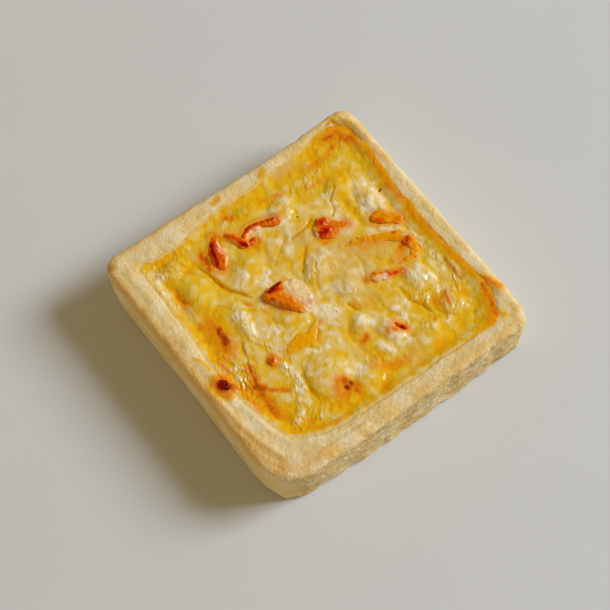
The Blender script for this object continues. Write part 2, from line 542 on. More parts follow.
# Where the egg is a clear yellow: route, half width, strength
LEMON = (
    (((-31, 26), (-29, 21)), 3.8, 0.9),
    (((-25, 20), (-24, 13), (-18, 11.6)), 2.8, 1.0),
    (((-13, 25), (-11, 23)), 2.4, 0.5),
    (((20, 31), (27, 29)), 3.2, 0.8),
    (((33, 36), (39, 36)), 3.2, 0.9),
    (((40, 33), (41.4, 27)), 3.0, 1.0),
    (((38.6, 27), (38.8, 21)), 1.6, 0.9),
    (((16, 25), (19, 23)), 2.8, 0.6),
    (((-1, 31.6), (2, 31.4)), 2.4, 0.6),
    (((-25, -4), (-23, -8)), 2.4, 0.7),
    (((36, 1), (36.4, -2)), 2.0, 0.7),
    (((35, -10), (36.6, -14)), 2.4, 0.6),
    (((24, -27), (24.6, -33)), 3.0, 0.4),
    (((34, -36), (39, -36)), 3.0, 0.6),
    (((10, 39), (20, 36)), 3.2, 0.5),
    (((-14, -22), (-10, -25)), 3.0, 0.4),
    (((24, -4), (24, -8)), 2.4, 0.5),
    (((0, -17), (0, -20)), 2.2, 0.6),
    (((39.6, -8), (40, -14)), 1.8, 0.8),
    (((-30, -11), (-24, -13)), 2.4, 0.5),
    (((-42, 14), (-37, 10)), 2.4, 0.4),
)

# Places coloured by the meat's fat or by the oven, from orange through brown to a burnt dark red as the
# strength grows: route, half width, strength
BROWNED = (
    (((-32.6, 11), (-32.6, 0)), 4.6, 0.40),
    (((-31.6, 7.4), (-32.2, 4), (-33.4, 1)), 2.4, 0.52),
    (((-31.4, 7.4), (-31.8, 5), (-32.4, 2.6)), 1.9, 0.80),
    (((-31.4, -9), (-33, -15), (-33.2, -26)), 2.6, 0.49),
    (((-33.4, -14.6), (-31.6, -16.6)), 1.9, 0.68),
    (((-34.1, -22), (-34, -25)), 1.1, 0.55),
    (((-31, -17.4), (-28.4, -19.6), (-25.4, -22)), 1.2, 0.46),
    (((-37.6, -12), (-36.6, -22)), 2.2, 0.34),
    (((-24.2, -10), (-24.1, -12)), 2.3, 0.55),
    (((-12, -28.6), (-14.4, -32), (-9, -33)), 3.2, 0.42),
    (((-10.8, -29.4), (-10.2, -32)), 2.2, 0.62),
    (((-11.4, -31.6), (-11.2, -32)), 1.1, 0.88),
    (((-9.4, -31.2), (-9.2, -31.6)), 1.1, 0.86),
    (((-9.2, -34.2), (-8.8, -35.2)), 0.8, 0.62),
    (((-20.8, 31.6), (-21.2, 29), (-21.4, 27)), 2.1, 0.64),
    (((-22, 23), (-21.4, 17)), 1.3, 0.34),
    (((-20.4, 15.6), (-18, 12.8)), 1.5, 0.32),
    (((-19.4, 9.6), (-18.4, 8.6)), 1.1, 0.44),
    (((-9.4, 29.6), (-5.4, 25.2), (-3.4, 25)), 2.4, 0.42),
    (((-10.8, 32.6), (-9.8, 31)), 1.6, 0.50),
    (((-37.6, -1), (-37.2, -6)), 1.6, 0.40),
    (((-41.4, -6.4), (-41.4, -9.4), (-39.8, -10.2)), 2.4, 0.74),
    (((-38.6, -11.2), (-36.4, -12.4)), 1.2, 0.48),
    (((-34.8, 24.6), (-34.4, 20.6)), 1.9, 0.42),
    (((-7.6, 38.4), (-6.2, 36.6)), 1.9, 0.46),
    (((13, 13.2), (16, 12.8), (22, 13.4)), 3.2, 0.42),
    (((13.6, 15.4), (15.4, 14.2)), 2.4, 0.60),
    (((3, 11), (6, 13.4)), 1.2, 0.28),
    (((31, 9), (37.2, 4)), 3.2, 0.44),
    (((22, 4), (30, 1), (33, -3), (28, -7)), 3.2, 0.34),
    (((30.8, 1.6), (33, 0.2)), 1.6, 0.56),
    (((31.2, -4.2), (33.8, -3.6)), 2.0, 0.60),
    (((15.6, -6.4), (26.6, -11)), 2.0, 0.46),
    (((10.4, -24.4), (15.4, -27)), 2.0, 0.44),
    (((2.6, -22.2), (3.9, -21.8)), 1.7, 0.54),
    (((0, -31), (4, -34), (9, -35)), 3.0, 0.34),
    (((28, -25), (30, -27)), 2.8, 0.36),
    (((31, -28.4), (32.6, -24.6)), 1.8, 0.42),
    (((36.6, -25), (37.4, -30)), 1.6, 0.28),
    (((25.4, 36.4), (30.6, 36.4), (36, 38)), 2.2, 0.36),
    (((35.6, 41.4), (38.6, 41), (42, 36)), 2.4, 0.50),
    (((5, 36), (12, 34.6)), 1.5, 0.34),
    (((20, 31), (27, 30)), 1.8, 0.32),
    (((43.2, -29.6), (42.4, -34), (40, -40.6)), 1.15, 0.56),
    (((39.4, -16), (39.8, -24)), 1.2, 0.34),
    (((-12.4, 3), (-9, -2)), 1.8, 0.36),
    (((-16.6, 5), (-16.4, 1)), 1.2, 0.30),
    (((-27, -36.8), (-16, -39)), 1.6, 0.30),
    (((-18.6, -10.6), (-13, -11), (-8, -12)), 3.2, 0.34),
    (((-7, -10), (-4.4, -9.4)), 1.6, 0.30),
)

# Pepper specks on the filling: route, half width, strength
PEPPER = (
    (((11.2, 24.4), (11.5, 24.2)), 0.28, 1.0),
    (((37.6, 15.8), (38.7, 16.3)), 0.30, 1.0),
    (((16.3, 7.9), (16.4, 7.9)), 0.26, 0.8),
    (((21.8, 6.7), (22, 6.7)), 0.34, 1.0),
    (((1.3, -9.2), (1.4, -10)), 0.24, 0.7),
    (((-19.6, -2.4), (-19.5, -2.4)), 0.24, 0.5),
    (((-10.9, -4.5), (-10.8, -4.4)), 0.26, 0.5),
)

# Where the filling's skin is finely wrinkled: route, half width, strength
WRINKLED = (
    (((-36, 35), (-31, 32), (-27, 36)), 3.5, 0.75),
    (((-38, 30), (-37, 22)), 2.0, 0.7),
    (((-37, -3), (-33, -8), (-37, -14)), 3.4, 1.2),
    (((-23, 12), (-24, 2), (-22, -8)), 2.0, 0.8),
    (((-22, -11), (-22, -20), (-26, -28)), 2.4, 0.9),
    (((-30, -32), (-20, -34)), 2.8, 0.8),
    (((-15, 29), (-14, 25)), 1.6, 0.7),
    (((-10, 38), (0, 36)), 2.6, 0.6),
    (((10, 34), (20, 32), (30, 36)), 3.2, 0.7),
    (((22, 22), (27, 27)), 1.8, 0.6),
    (((28, 14), (34, 17)), 2.0, 0.7),
    (((2, 5), (10, 8), (11, 1)), 2.8, 0.7),
    (((7, -6), (12, -7)), 2.0, 0.6),
    (((-4, -30), (6, -29)), 2.8, 0.7),
    (((12, -21), (18, -26)), 2.4, 0.6),
    (((24, -21), (34, -25), (38, -22)), 3.6, 0.9),
    (((22, -30), (34, -30)), 2.4, 0.8),
    (((36, -3), (39, -18)), 2.0, 0.8),
    (((27, -13), (32, -17)), 2.6, 0.7),
)
WRINKLED_ELSEWHERE = 0.12

# The egg's painted kinds of stroke: the strokes, whether their edges are sharp, and how noise breaks them
# up, as an even share, shares of the broken and the cloudy noise, and the least and the most
EGG_STROKES = {
    "cream": (CREAM, True, 0.85, 0.9, 0.0, 0.1, 1.25),
    "pale": (PALE, False, 0.9, 0.7, 0.5, 0.2, 1.3),
    "gold": (GOLD, False, 0.9, 0.6, 0.0, 0.2, 1.3),
    "wash": (WASH, False, 0.9, 0.4, 0.8, 0.2, 1.35),
    "dull": (DULL, False, 0.9, 0.4, 0.6, 0.3, 1.2),
    "lemon": (LEMON, False, 0.9, 0.5, 0.5, 0.3, 1.2),
}
BROKEN_WAVES = ((1.7, 1.0, 21.0), (0.75, 0.6, 22.0))
STRAND_STRETCH = (0.8, 1.25, 1.0)
WRINKLE_STRETCH = (0.45, 1.0, 1.0)

# How much of the strands, the shreds and the depth of the valleys stays where the skin is smooth
CALM = 0.35

# The browned bank on the right: where it starts along X and ends from the edge, and how browned it is
BANK_FROM = (30, 38)
BANK_EDGES = (1.5, 3.2)
BANK_BROWNED = 0.30

# Where the crust's colour runs onto the egg: distances from the edge, its ragged noise, and how much less
# of it there is towards the right
CRUSTED_EDGES = (0.1, 1.5)
CRUSTED_RAGGED = 1.4
CRUSTED_BROKEN = 0.6
CRUSTED_RIGHT = (26, 34)
CRUSTED_LESS = 0.75

# Distances from the edge over which the shreds begin and the darker border ends
SHRED_EDGES = (0.5, 2.5)
BORDER_EDGES = (0.5, 4.0)

# How far each thing on the filling raises it
EGG_RELIEF = {
    "cream": 0.24, "gold": -0.20, "browned": -0.05, "fold": -0.36, "wash": -0.16, "ledge": 0.75,
    "pale": 0.16, "curd": 0.30, "wrinkle": 0.46, "mottle": 0.03, "fine": 0.015, "shred": 0.14,
    "strands": 0.13, "busy_valleys": -0.16, "collar": 0.16,
}

# How far each turns its tone from gold, at 0, towards white, at 1
TONE_START = 0.61
EGG_TONE = {
    "cream": 0.40, "pale": 0.26, "gold": -0.32, "wash": -0.42, "fold": -0.18, "ledge": 0.2, "shred": 0.30,
    "strands": 0.26, "valleys": -0.20, "wrinkle": 0.75, "curd": 0.48, "patch": 0.26, "mottle": 0.28,
    "broken": 0.10, "bank": -0.26, "border": -0.10,
}

# The painted tone at which the egg is deep gold, which leaves room below it, and the span up to white
TONE_BASE = 0.3
TONE_SPAN = 1 - TONE_BASE

# How strokes wander: size of the noise, distance pushed, and the shares of it for sharp strokes and folds
WANDER = ((5.0, 1.2), (1.7, 0.5), (0.7, 0.2))
SHARP_WANDER = 0.4
FOLD_WANDER = 0.2

# Short shreds of melted cheese, scattered: how many, their heading and its spread in degrees, then ranges
# of their middles, half lengths, half widths and strengths, and how far from its middle one can reach
SHREDS = 420
SHRED_SEED = 11
SHRED_HEADING = 68.0
SHRED_SPREAD = 24.0
SHRED_MIDDLES = ((-39, 42), (-39, 41))
SHRED_LENGTHS = (0.4, 1.6)
SHRED_WIDTHS = (0.2, 0.45)
SHRED_STRENGTHS = (0.3, 1.0)
SHRED_NEAR = 5.0

# Where the meat lies, and how strongly its juice colours the egg: route, half width, strength
MEAT_BEDS = (
    (((-14, 34), (-16.6, 30.5), (-17.2, 26.8), (-18, 24.6)), 1.9, 0.45),
    (((-10.4, 32.2), (-9, 30.2), (-7.6, 26.6)), 1.0, 0.5),
    (((-7.2, 28.2), (-5.4, 29.8), (-3, 30.8), (0.4, 30.2), (5.8, 28)), 1.0, 0.45),
    (((14.6, 15.6), (16.2, 16.6)), 2.6, 0.45),
    (((18, 15), (22.8, 12.4)), 1.0, 0.45),
    (((30.6, 8.8), (36.6, 5)), 2.3, 0.4),
    (
        ((17.4, 6.8), (22.5, 5), (28, 3), (32.5, 1.2), (34.4, -3), (34.8, -6.4), (32.4, -8.8), (26, -8)),
        1.2, 0.3,
    ),
    (((16.4, -6.6), (20.4, -8), (26.8, -11)), 1.0, 0.42),
    (((-12, 6.6), (-8.4, 5.4), (-8, 0)), 2.4, 0.4),
    (((-7, 6), (-4, 3.4), (-4.2, -1)), 3.2, 0.0),
    (((-16.8, -11), (-8.6, -11)), 2.4, 0.15),
    (((-41, -8), (-40.9, -8)), 2.0, 0.6),
    (((-24.2, -11.2), (-24.1, -11.2)), 1.0, 0.55),
    (((13.2, -23.6), (14.8, -26.6)), 0.9, 0.5),
)

# The egg round the meat: where the bed ends, how far the collar and the juice reach, and the juice's strength
BED_EDGES = (-1.2, 0.2)
COLLAR_REACH = 0.9
JUICE_REACH = 2.0
JUICE_STRENGTH = 0.75

# Strips of meat: routes with their widths, how flat, lift, finish
STRIPS = {
    "bacon_strip": (
        ((((-13, 35), (-15.2, 32.4), (-16.6, 29.4), (-17, 26.4), (-18.4, 23)), (1.8, 3.6, 4.8, 5.4, 2.2)),),
        0.42, -0.15, "bacon",
    ),
    "bacon_fork": (
        (
            (((-11, 33), (-9.4, 30.6), (-8.2, 28), (-7.2, 25.2)), (2.8, 3.6, 3.8, 2.8)),
            (((-8, 26.8), (-5.8, 28.7), (-3, 29.7), (0.2, 29.2), (3, 28), (6.6, 26.3)),
             (2.0, 2.8, 3.2, 3.0, 3.4, 3.9)),
            (((-6.4, 25.8), (-3.4, 26.3)), (2.0, 2.6)),
        ),
        0.7, -0.3, "bacon",
    ),
    "bacon_curl": (
        (
            (((17, 7), (21.6, 6), (25.5, 3.9), (30, 1.8), (33.2, -0.8), (34.4, -3.6), (34.3, -6.2),
              (32.4, -8.4), (29, -8.5), (25.2, -8)),
             (1.2, 2.6, 3.2, 3.8, 4.0, 4.4, 3.4, 3.0, 2.6, 1.9)),
        ),
        0.52, -0.3, "browned",
    ),
    "ham_strip": (
        ((((15.4, -6.2), (18.8, -7.9), (22.4, -9.3), (27.6, -12)), (2.4, 4.2, 3.3, 1.8)),),
        0.55, -0.25, "ham",
    ),
}

# Flat pieces: outline, thickness, lift, tilt in degrees, finish
SLABS = {
    "bacon_knob": (
        ((11.8, 15.2), (12.6, 17.2), (13.8, 19.2), (16, 20), (18.4, 19), (18.6, 17), (21, 15.6), (24, 12.9),
         (22.8, 11.2), (20.4, 12), (18.2, 11.8), (15.6, 11.6), (13.2, 12.8)),
        1.4, 0.0, (0, 4, 0), "bacon",
    ),
    "bacon_slab": (
        ((29.4, 9.2), (30.6, 10.8), (32.6, 10.9), (35.4, 7.8), (38.6, 5.6), (38, 3.3), (36.6, 1.9),
         (34.6, 3.9), (32.2, 5.6), (30.4, 6.8)),
        1.3, 0.2, (0, 4, 0), "browned",
    ),
    "ham_chunk": (
        ((-14.2, 7.3), (-11.6, 9), (-7, 9.5), (-3, 8), (-0.3, 5.5), (0.3, 1.5), (-0.8, -2.8),
         (-4.5, -5), (-8.4, -3), (-10.2, 0), (-12.6, 3.6)),
        2.8, 0.3, (0, 8, 0), "ham",
    ),
    "ham_flake": (
        ((-20, -11), (-16.8, -8.5), (-13.6, -7.8), (-10, -9.3), (-7.6, -9.1), (-5, -7.8), (-5.4, -9.9),
         (-8.4, -13.2), (-9.6, -15.7), (-12.6, -15), (-15.8, -13.4), (-18.8, -12.8)),
        1.3, -0.25, (0, 0, 0), "golden",
    ),
}

# Small knobs: middle, half lengths, turn, lift, finish
KNOBS = {
    "burnt_nub": ((-41, -8.9), (1.9, 2.3, 0.85), 30, 0.5, "burnt"),
    "bacon_bit_left": ((-24.2, -11.2), (1.6, 1.4, 0.7), 60, 0.25, "browned"),
    "bacon_bit_near": ((14.2, -25.2), (2.9, 0.85, 0.6), -65, 0.2, "bacon"),
}

# A slab's section from its underside to its top: spread and rise, as shares of its outline and thickness
SLAB_SECTION = (
    (0.5, -0.7), (0.9, -0.55), (1.02, -0.25), (0.98, 0.05), (0.87, 0.28), (0.66, 0.43), (0.35, 0.5),
)

# How far a slab's outline is pushed in and out, and the size of those waves
SLAB_RAGGED = 0.55
SLAB_RAGGED_SIZE = 1.5

# Heights above the filling between which egg still clings to the meat
SUNK_HEIGHTS = (-0.1, 0.35)

# Fibres along a strip: how many round it, how deep between them, how they twist from ring to ring
FIBRES = 4
FIBRE_DEPTH = 0.16
FIBRE_TWIST = 0.12

# How a strip's width is drawn in at its ends and varies: least share, noise and its size
STRIP_END = 0.04
RAGGEDNESS = 0.22
RAGGED_SIZE = 1.3

# Crumpling of the meat: size of the noise, height, seed
MEAT_CRUMPLE = ((2.4, 0.35, 1.0), (1.1, 0.35, 2.0), (0.5, 0.14, 3.0))

# How done each kind of meat is, from 0 for pale to 1 for burnt, how flecked and crumpled it is, and how
# done its marks make it
DONENESS = {"bacon": 0.28, "browned": 0.12, "ham": 0.0, "golden": 0.0, "burnt": 0.88}
FLECKS = {"bacon": 0.22, "browned": 0.16, "ham": 0.12, "golden": 0.06, "burnt": 0.2}
CRUMPLING = {"bacon": 0.75, "browned": 0.45, "ham": 0.7, "golden": 0.35, "burnt": 1.05}
MARK_DONENESS = {"amber": 0.26, "red": 0.57, "char": 1.0}

# What is painted on the meat: route, half width, strength
MEAT_MARKS = {
    "char": (
        (((-16, 32.8), (-17.4, 30), (-17.8, 28), (-18.8, 25.6)), 1.1, 0.85),
        (((-17.2, 29.4), (-17.4, 28.6)), 1.0, 0.95),
        (((-8.2, 27.2), (-7.4, 25.8)), 1.1, 0.95),
        (((-4.6, 30.6), (-2.9, 31.1), (-1.5, 30.8)), 0.7, 0.95),
        (((1.4, 29.8), (3.4, 29)), 0.8, 0.7),
        (((13.6, 14.8), (15.6, 14.4)), 1.7, 0.85),
        (((15.4, 17.6), (16.4, 18)), 1.1, 0.75),
        (((34.4, -3), (33.6, -3.6)), 0.9, 0.72),
        (((31.8, -4.8), (32.6, -4)), 1.2, 0.66),
        (((31.9, 1.9), (32.6, 1.4)), 0.6, 0.6),
        (((32.2, -9.6), (32.8, -9.4)), 0.6, 0.6),
        (((-11.6, 7.8), (-9.2, 8.4), (-7.4, 8.8)), 1.0, 1.0),
        (((-10.4, 7.2), (-9, 7)), 1.2, 0.7),
        (((-12.6, 5.3), (-12.4, 5)), 0.7, 0.6),
        (((-40.9, -8.5), (-40.5, -9.4)), 1.8, 1.0),
        (((14.2, -26.1), (14.9, -27)), 0.9, 0.8),
        (((26.8, -11.8), (27.4, -12)), 0.6, 0.5),
        (((-24.2, -11.4), (-24.1, -11.2)), 0.8, 0.7),
    ),
    "red": (
        (((-15, 33.8), (-15.8, 30), (-16.6, 26)), 1.4, 0.85),
        (((-17.6, 30), (-18.6, 26.4), (-18.8, 23.6)), 2.0, 1.0),
        (((-10.4, 32.2), (-8.6, 29.6), (-7.8, 27)), 1.4, 0.8),
        (((-5.4, 26.2), (-3.4, 26.6)), 1.4, 1.05),
        (((-6, 29.4), (-2.9, 30.4), (0.2, 29.9), (3, 28.6), (6, 27.5)), 1.2, 1.0),
        (((13.8, 14.6), (16.4, 15)), 3.0, 1.1),
        (((15.2, 18.6), (17, 18.2)), 2.2, 1.05),
        (((31.4, -4.2), (34.2, -3.2)), 1.7, 0.95),
        (((21.4, -9), (25, -10.4)), 1.0, 0.9),
        (((-10.4, 7), (-8.4, 6.4)), 1.3, 0.8),
        (((-12.8, 5.2), (-11.8, 4.4)), 0.9, 0.62),
        (((-24.4, -11.4), (-24, -11)), 1.2, 0.9),
        (((13.4, -24.2), (14.8, -27)), 1.2, 1.0),
        (((30.2, 8.2), (31.6, 6.8)), 1.3, 0.75),
        (((33, 8.6), (34, 7.4)), 0.9, 0.5),
        (((35.8, 4.8), (37.4, 3.8)), 1.3, 0.65),
    ),
    "amber": (
        (((-12.4, 7.2), (-11, 5.6), (-9.6, 3), (-8.8, 0), (-8.6, -2)), 3.0, 1.2),
        (((-6, 8.8), (-3, 8)), 0.9, 0.6),
        (((15.2, -6), (18.4, -6.4), (21.6, -7.8), (24.4, -9.2), (27.2, -11.2)), 1.6, 1.0),
        (((15.6, -7.4), (17.4, -8.4), (20, -9.4)), 0.9, 1.0),
    ),
    "fat": (
        (((-14.2, 32), (-14.3, 29.4), (-14.2, 26.6), (-15.8, 24)), 0.8, 1.0),
        (((-15.6, 30.6), (-15.4, 28)), 0.4, 0.7),
        (((-6.4, 25.8), (-5.9, 27.4), (-5, 28.4)), 0.5, 0.9),
        (((-5, 28.3), (-2.6, 28.8), (-0.4, 28.5)), 0.7, 1.0),
        (((4.4, 27.2), (5.4, 28)), 0.4, 0.6),
        (((18.8, 17), (20.2, 16.6)), 0.9, 0.9),
        (((17, 13.4), (17.6, 14.4)), 0.4, 0.7),
        (((21, 13.4), (22, 13.8)), 0.4, 0.6),
        (((11.8, 17), (12.6, 18.4)), 1.1, 1.0),
        (((16.4, 16.8), (17.4, 16)), 0.5, 0.7),
        (((18.6, -8.3), (20.8, -9.3)), 1.1, 1.2),
        (((33.6, -0.4), (34.8, -2)), 0.5, 0.7),
        (((33, -5.2), (34.2, -5)), 0.4, 0.6),
        (((-23.4, -11.8), (-23, -12.4)), 0.5, 0.7),
        (((11.8, -24), (12.6, -25)), 0.8, 0.7),
        (((-40, -6.8), (-39.6, -7.4)), 0.35, 0.6),
    ),
    "egg": (
        (((16, 7.4), (20, 6.6)), 1.7, 0.8),
        (((25, -8), (28, -8.4)), 1.3, 0.6),
        (((0.4, 3), (-0.6, -3), (-4, -5)), 1.5, 0.9),
        (((-20, -11), (-17.6, -9.4)), 1.5, 0.9),
        (((-5, -8.4), (-6.4, -10), (-9, -14.4), (-12.4, -15)), 1.3, 0.9),
        (((28.9, 9.6), (29.6, 7)), 0.9, 0.7),
        (((38.4, 5.6), (37, 2.6)), 1.0, 0.6),
        (((12, 12.8), (11.8, 16), (13, 18.6)), 0.9, 0.95),
        (((15, -5.8), (16.6, -6.8)), 1.3, 0.95),
    ),
    "mauve": (
        (((-3.6, -2.2), (-2.8, -2.6)), 1.3, 1.0),
        (((-4.6, 0.6), (-3, -0.6)), 1.2, 0.4),
        (((-1.4, 4.6), (-0.8, 2.6)), 1.0, 0.4),
        (((-5.6, -2), (-5, -3)), 1.2, 0.5),
    ),
}

# Camera, in the object's frame
CAMERA_DISTANCE = 600.0
CAMERA_LENS = 109.8
CAMERA_ELEVATION = 65.78
CAMERA_AZIMUTH = -33.84
CAMERA_ROLL = -2.96
CAMERA_RIGHT = -3.35
CAMERA_UP = 4.64
CAMERA_SENSOR = 36.0
CAMERA_CLIPS = (0.01, 50.0)

# Lights: azimuth and elevation in degrees, distance, size, watts, colour; then the room and the floor
LIGHTS = {
    "key_light": (-22.0, 36.5, 4.0, 1.6, 170.0, (0.82, 0.89, 1.0)),
    "fill_light": (170.0, 6.0, 2.0, 1.0, 6.5, (1.0, 0.93, 0.60)),
}
ROOM_COLOUR = (1.0, 0.75, 0.38, 1.0)
ROOM_STRENGTH = 0.30
FLOOR_SIZE = 6.0
FLOOR_COLOURS = ((0.63, 0.64, 0.64), (0.65, 0.66, 0.66))


# Selection and edit mode

def work_on(piece):
    """The piece alone selected and active."""
    bpy.ops.object.select_all(action="DESELECT")
    piece.select_set(True)
    bpy.context.view_layer.objects.active = piece


def named(name):
    """The primitive that was just added, with its name."""
    piece = bpy.context.object
    piece.name = name
    piece.data.name = name
    return piece


def rounded(piece, levels):
    """The piece subdivided smoothly."""
    modifier = piece.modifiers.new("Rounding", "SUBSURF")
    modifier.levels = levels
    modifier.render_levels = levels
    work_on(piece)
    bpy.ops.object.modifier_apply(modifier=modifier.name)


def places(piece):
    """The piece's points in millimetres."""
    flat = np.empty(len(piece.data.vertices) * 3)
    piece.data.vertices.foreach_get("co", flat)
    return flat.reshape(-1, 3) / MM


def place(piece, points):
    piece.data.vertices.foreach_set("co", (np.asarray(points) * MM).ravel())
    piece.data.update()


def normals(piece):
    flat = np.empty(len(piece.data.vertices) * 3)
    piece.data.vertices.foreach_get("normal", flat)
    return flat.reshape(-1, 3)


def mark(piece, name, values):
    """Values painted on the piece's points, for its material to read."""
    layer = piece.data.attributes.new(name, "FLOAT", "POINT")
    layer.data.foreach_set("value", np.clip(values, 0.0, 1.0).astype(np.float32))


# Curves, outlines and relief

def smooth_step(value, start, end):
    share = np.clip((value - start) / (end - start), 0.0, 1.0)
    return share * share * (3.0 - 2.0 * share)


def through(points, samples, closed=False):
    """Points of a smooth curve through the given ones."""
    points = [Vector(point) for point in points]
    spans = len(points) if closed else len(points) - 1
    smooth = []
    for i in range(spans):
        if closed:
            before, start, end, after = (points[(i + k) % len(points)] for k in (-1, 0, 1, 2))
        else:
            before, after = points[max(i - 1, 0)], points[min(i + 2, spans)]
            start, end = points[i], points[i + 1]
        for step in range(samples):
            t = step / samples
            smooth.append(0.5 * (
                2 * start + (end - before) * t
                + (2 * before - 5 * start + 4 * end - after) * t ** 2
                + (3 * start - before - 3 * end + after) * t ** 3
            ))
    if not closed:
        smooth.append(points[-1])
    return smooth


def by_angle(points):
    """A closed outline round the origin as angles and radii, in the order of the angles."""
    angles = np.array([math.atan2(point[1], point[0]) for point in points])
    radii = np.array([math.hypot(point[0], point[1]) for point in points])
    order = np.argsort(angles)
    return angles[order], radii[order]


def reach(outline, angle):
    return np.interp(angle, *outline, period=math.tau)


def bowed(point):
    """The point moved out by the bow of the sides that it lies towards."""
    bow_x = SIDE_BOWS["+x"] if point.x > 0 else SIDE_BOWS["-x"]
    bow_y = SIDE_BOWS["+y"] if point.y > 0 else SIDE_BOWS["-y"]
    return Vector((
        point.x * (1 + bow_x / HALF * (1 - (point.y / HALF) ** 2)),
        point.y * (1 + bow_y / HALF * (1 - (point.x / HALF) ** 2)),
    ))


def rim_outline():
    """The outer edge of the rim: a square with a radius at each corner and a bow in each side."""
    points = []
    radii = list(CORNER_RADII.values())
    for turn, (radius, next_radius) in enumerate(zip(radii, radii[1:] + radii[:1])):
        middle = Vector((HALF - radius, HALF - radius))
        arc = [
            middle + radius * Vector((math.cos(angle), math.sin(angle)))
            for angle in np.linspace(0.0, math.pi / 2, ARC_STEPS + 1)
        ]
        side_end = Vector((next_radius - HALF, HALF))
        side = [arc[-1].lerp(side_end, step / SIDE_STEPS) for step in range(1, SIDE_STEPS)]
        quarter = Matrix.Rotation(turn * math.pi / 2, 2)
        points += [quarter @ point for point in arc + side]
    return by_angle([bowed(point) for point in points])


def ragged(points, depth, size):
    """An outline round the origin, pushed in and out a little by noise."""
    return [
        point * (1 + depth / HALF * noise.noise(Vector((point[0], point[1], 0.0)) / size))
        for point in points
    ]


RIM = rim_outline()
CAVITY = by_angle(ragged(through(CAVITY_EDGE, 8, closed=True), CAVITY_WAVE, CAVITY_WAVE_SIZE))


def inset(radius, distance):
    """A radius of a square outline, with its sides moved in by the distance."""
    return radius * (1 - distance / HALF)


def cavity_radius(angle, height, clearance=0.0):
    """The inner wall's radius, which narrows towards the floor, less any clearance."""
    slope = (HEIGHT - height) / (HEIGHT - FLOOR_HEIGHT)
    return inset(reach(CAVITY, angle), CAVITY_DRAFT * slope + clearance)


def crowded(share):
    """A place along half a side, from -1 to 1, with the stations closer towards the corners."""
    return (1 - CORNER_CROWDING) * share + CORNER_CROWDING * np.sin(share * math.pi / 2)


def grain(points, size, seed=0.0):
    """Smooth noise from -1 to 1 at the points, with lumps of about the given size."""
    scaled = np.asarray(points) / size + seed
    return np.array([noise.noise(Vector(point)) for point in scaled])


def waves(points, layers):
    """Noise added up from its layers, each a size, a height and a seed."""
    return sum(height * grain(points, size, seed) for size, height, seed in layers)


def lengthwise(points, heading):
    """The places turned so that the heading, in degrees, lies along the first axis."""
    turn = math.radians(heading)
    x, y, z = np.asarray(points).T
    along = x * math.cos(turn) + y * math.sin(turn)
    return np.stack([along, y * math.cos(turn) - x * math.sin(turn), z], axis=1)


def crumbs(points, size):
    """Rounded crumbs side by side, from about 0 between them to 1 on their tops."""
    scaled = np.asarray(points) / size
    return np.array([1 - noise.voronoi(Vector(point))[0][0] for point in scaled])


def wandering(x, y, share=1.0):
    """Places pushed about a little, so that strokes painted there get soft, wandering edges."""
    flat = np.stack([x, y, 0 * x], axis=1)
    push_x, push_y = np.zeros(len(x)), np.zeros(len(y))
    for size, reach_out in WANDER:
        push_x += share * reach_out * grain(flat, size, 20.0)
        push_y += share * reach_out * grain(flat, size, 40.0)
    return x + push_x, y + push_y


def distance_to(x, y, route):
    """How far places are from a route of straight runs."""
    nearest = np.full(np.shape(x), np.inf)
    for (start_x, start_y), (end_x, end_y) in zip(route, route[1:]):
        run_x, run_y = end_x - start_x, end_y - start_y
        share = ((x - start_x) * run_x + (y - start_y) * run_y) / (run_x ** 2 + run_y ** 2)
        share = np.clip(share, 0.0, 1.0)
        gap = np.hypot(x - start_x - share * run_x, y - start_y - share * run_y)
        nearest = np.minimum(nearest, gap)
    return nearest


def beside(x, y, route):
    """How far places are from a route, and on which side of it, from -1 on its right to 1 on its left."""
    nearest, side = np.full(np.shape(x), np.inf), np.zeros(np.shape(x))
    for (start_x, start_y), (end_x, end_y) in zip(route, route[1:]):
        gap = distance_to(x, y, ((start_x, start_y), (end_x, end_y)))
        length = math.hypot(end_x - start_x, end_y - start_y)
        off = ((end_x - start_x) * (y - start_y) - (end_y - start_y) * (x - start_x)) / length
        closer = gap < nearest
        side[closer] = np.clip(off[closer] / LEDGE_SOFTNESS, -1.0, 1.0)
        nearest[closer] = gap[closer]
    return nearest, side


def ledges(x, y):
    """How the filling steps up along its folds, on the side that is the higher."""
    height = np.zeros(np.shape(x))
    for route, half_width, _, rise in CREASES:
        near, side = beside(x, y, route)
        middle_x, middle_y = np.mean(route, axis=0)
        half_length = max(math.hypot(px - middle_x, py - middle_y) for px, py in route)
        away = np.hypot(x - middle_x, y - middle_y)
        fading = 1 - smooth_step(away, LEDGE_FADES_FROM * half_length, half_length + LEDGE_FADES_OVER)
        higher = 0.5 + 0.5 * side * np.sign(rise)
        height += abs(rise) * fading * (higher - 0.5) * np.exp(-near / LEDGE_REACH)
    return height


def stroked(x, y, strokes):
    """How strongly places are covered by soft strokes, each a route, a half width and a strength."""
    cover = np.zeros(np.shape(x))
    for route, half_width, strength in strokes:
        cover = np.maximum(cover, strength * np.exp(-(distance_to(x, y, route) / half_width) ** 2))
    return cover


def lumps(x, y):
    height = np.zeros(np.shape(x))
    for (middle_x, middle_y), (half_x, half_y), turn, rise in LUMPS:
        turn = math.radians(turn)
        along = (x - middle_x) * math.cos(turn) + (y - middle_y) * math.sin(turn)
        across = (y - middle_y) * math.cos(turn) - (x - middle_x) * math.sin(turn)
        spread = (along / half_x) ** 2 + (across / half_y) ** 2
        height += rise * np.clip(1.0 - spread, 0.0, 1.0) ** 1.5
    return height


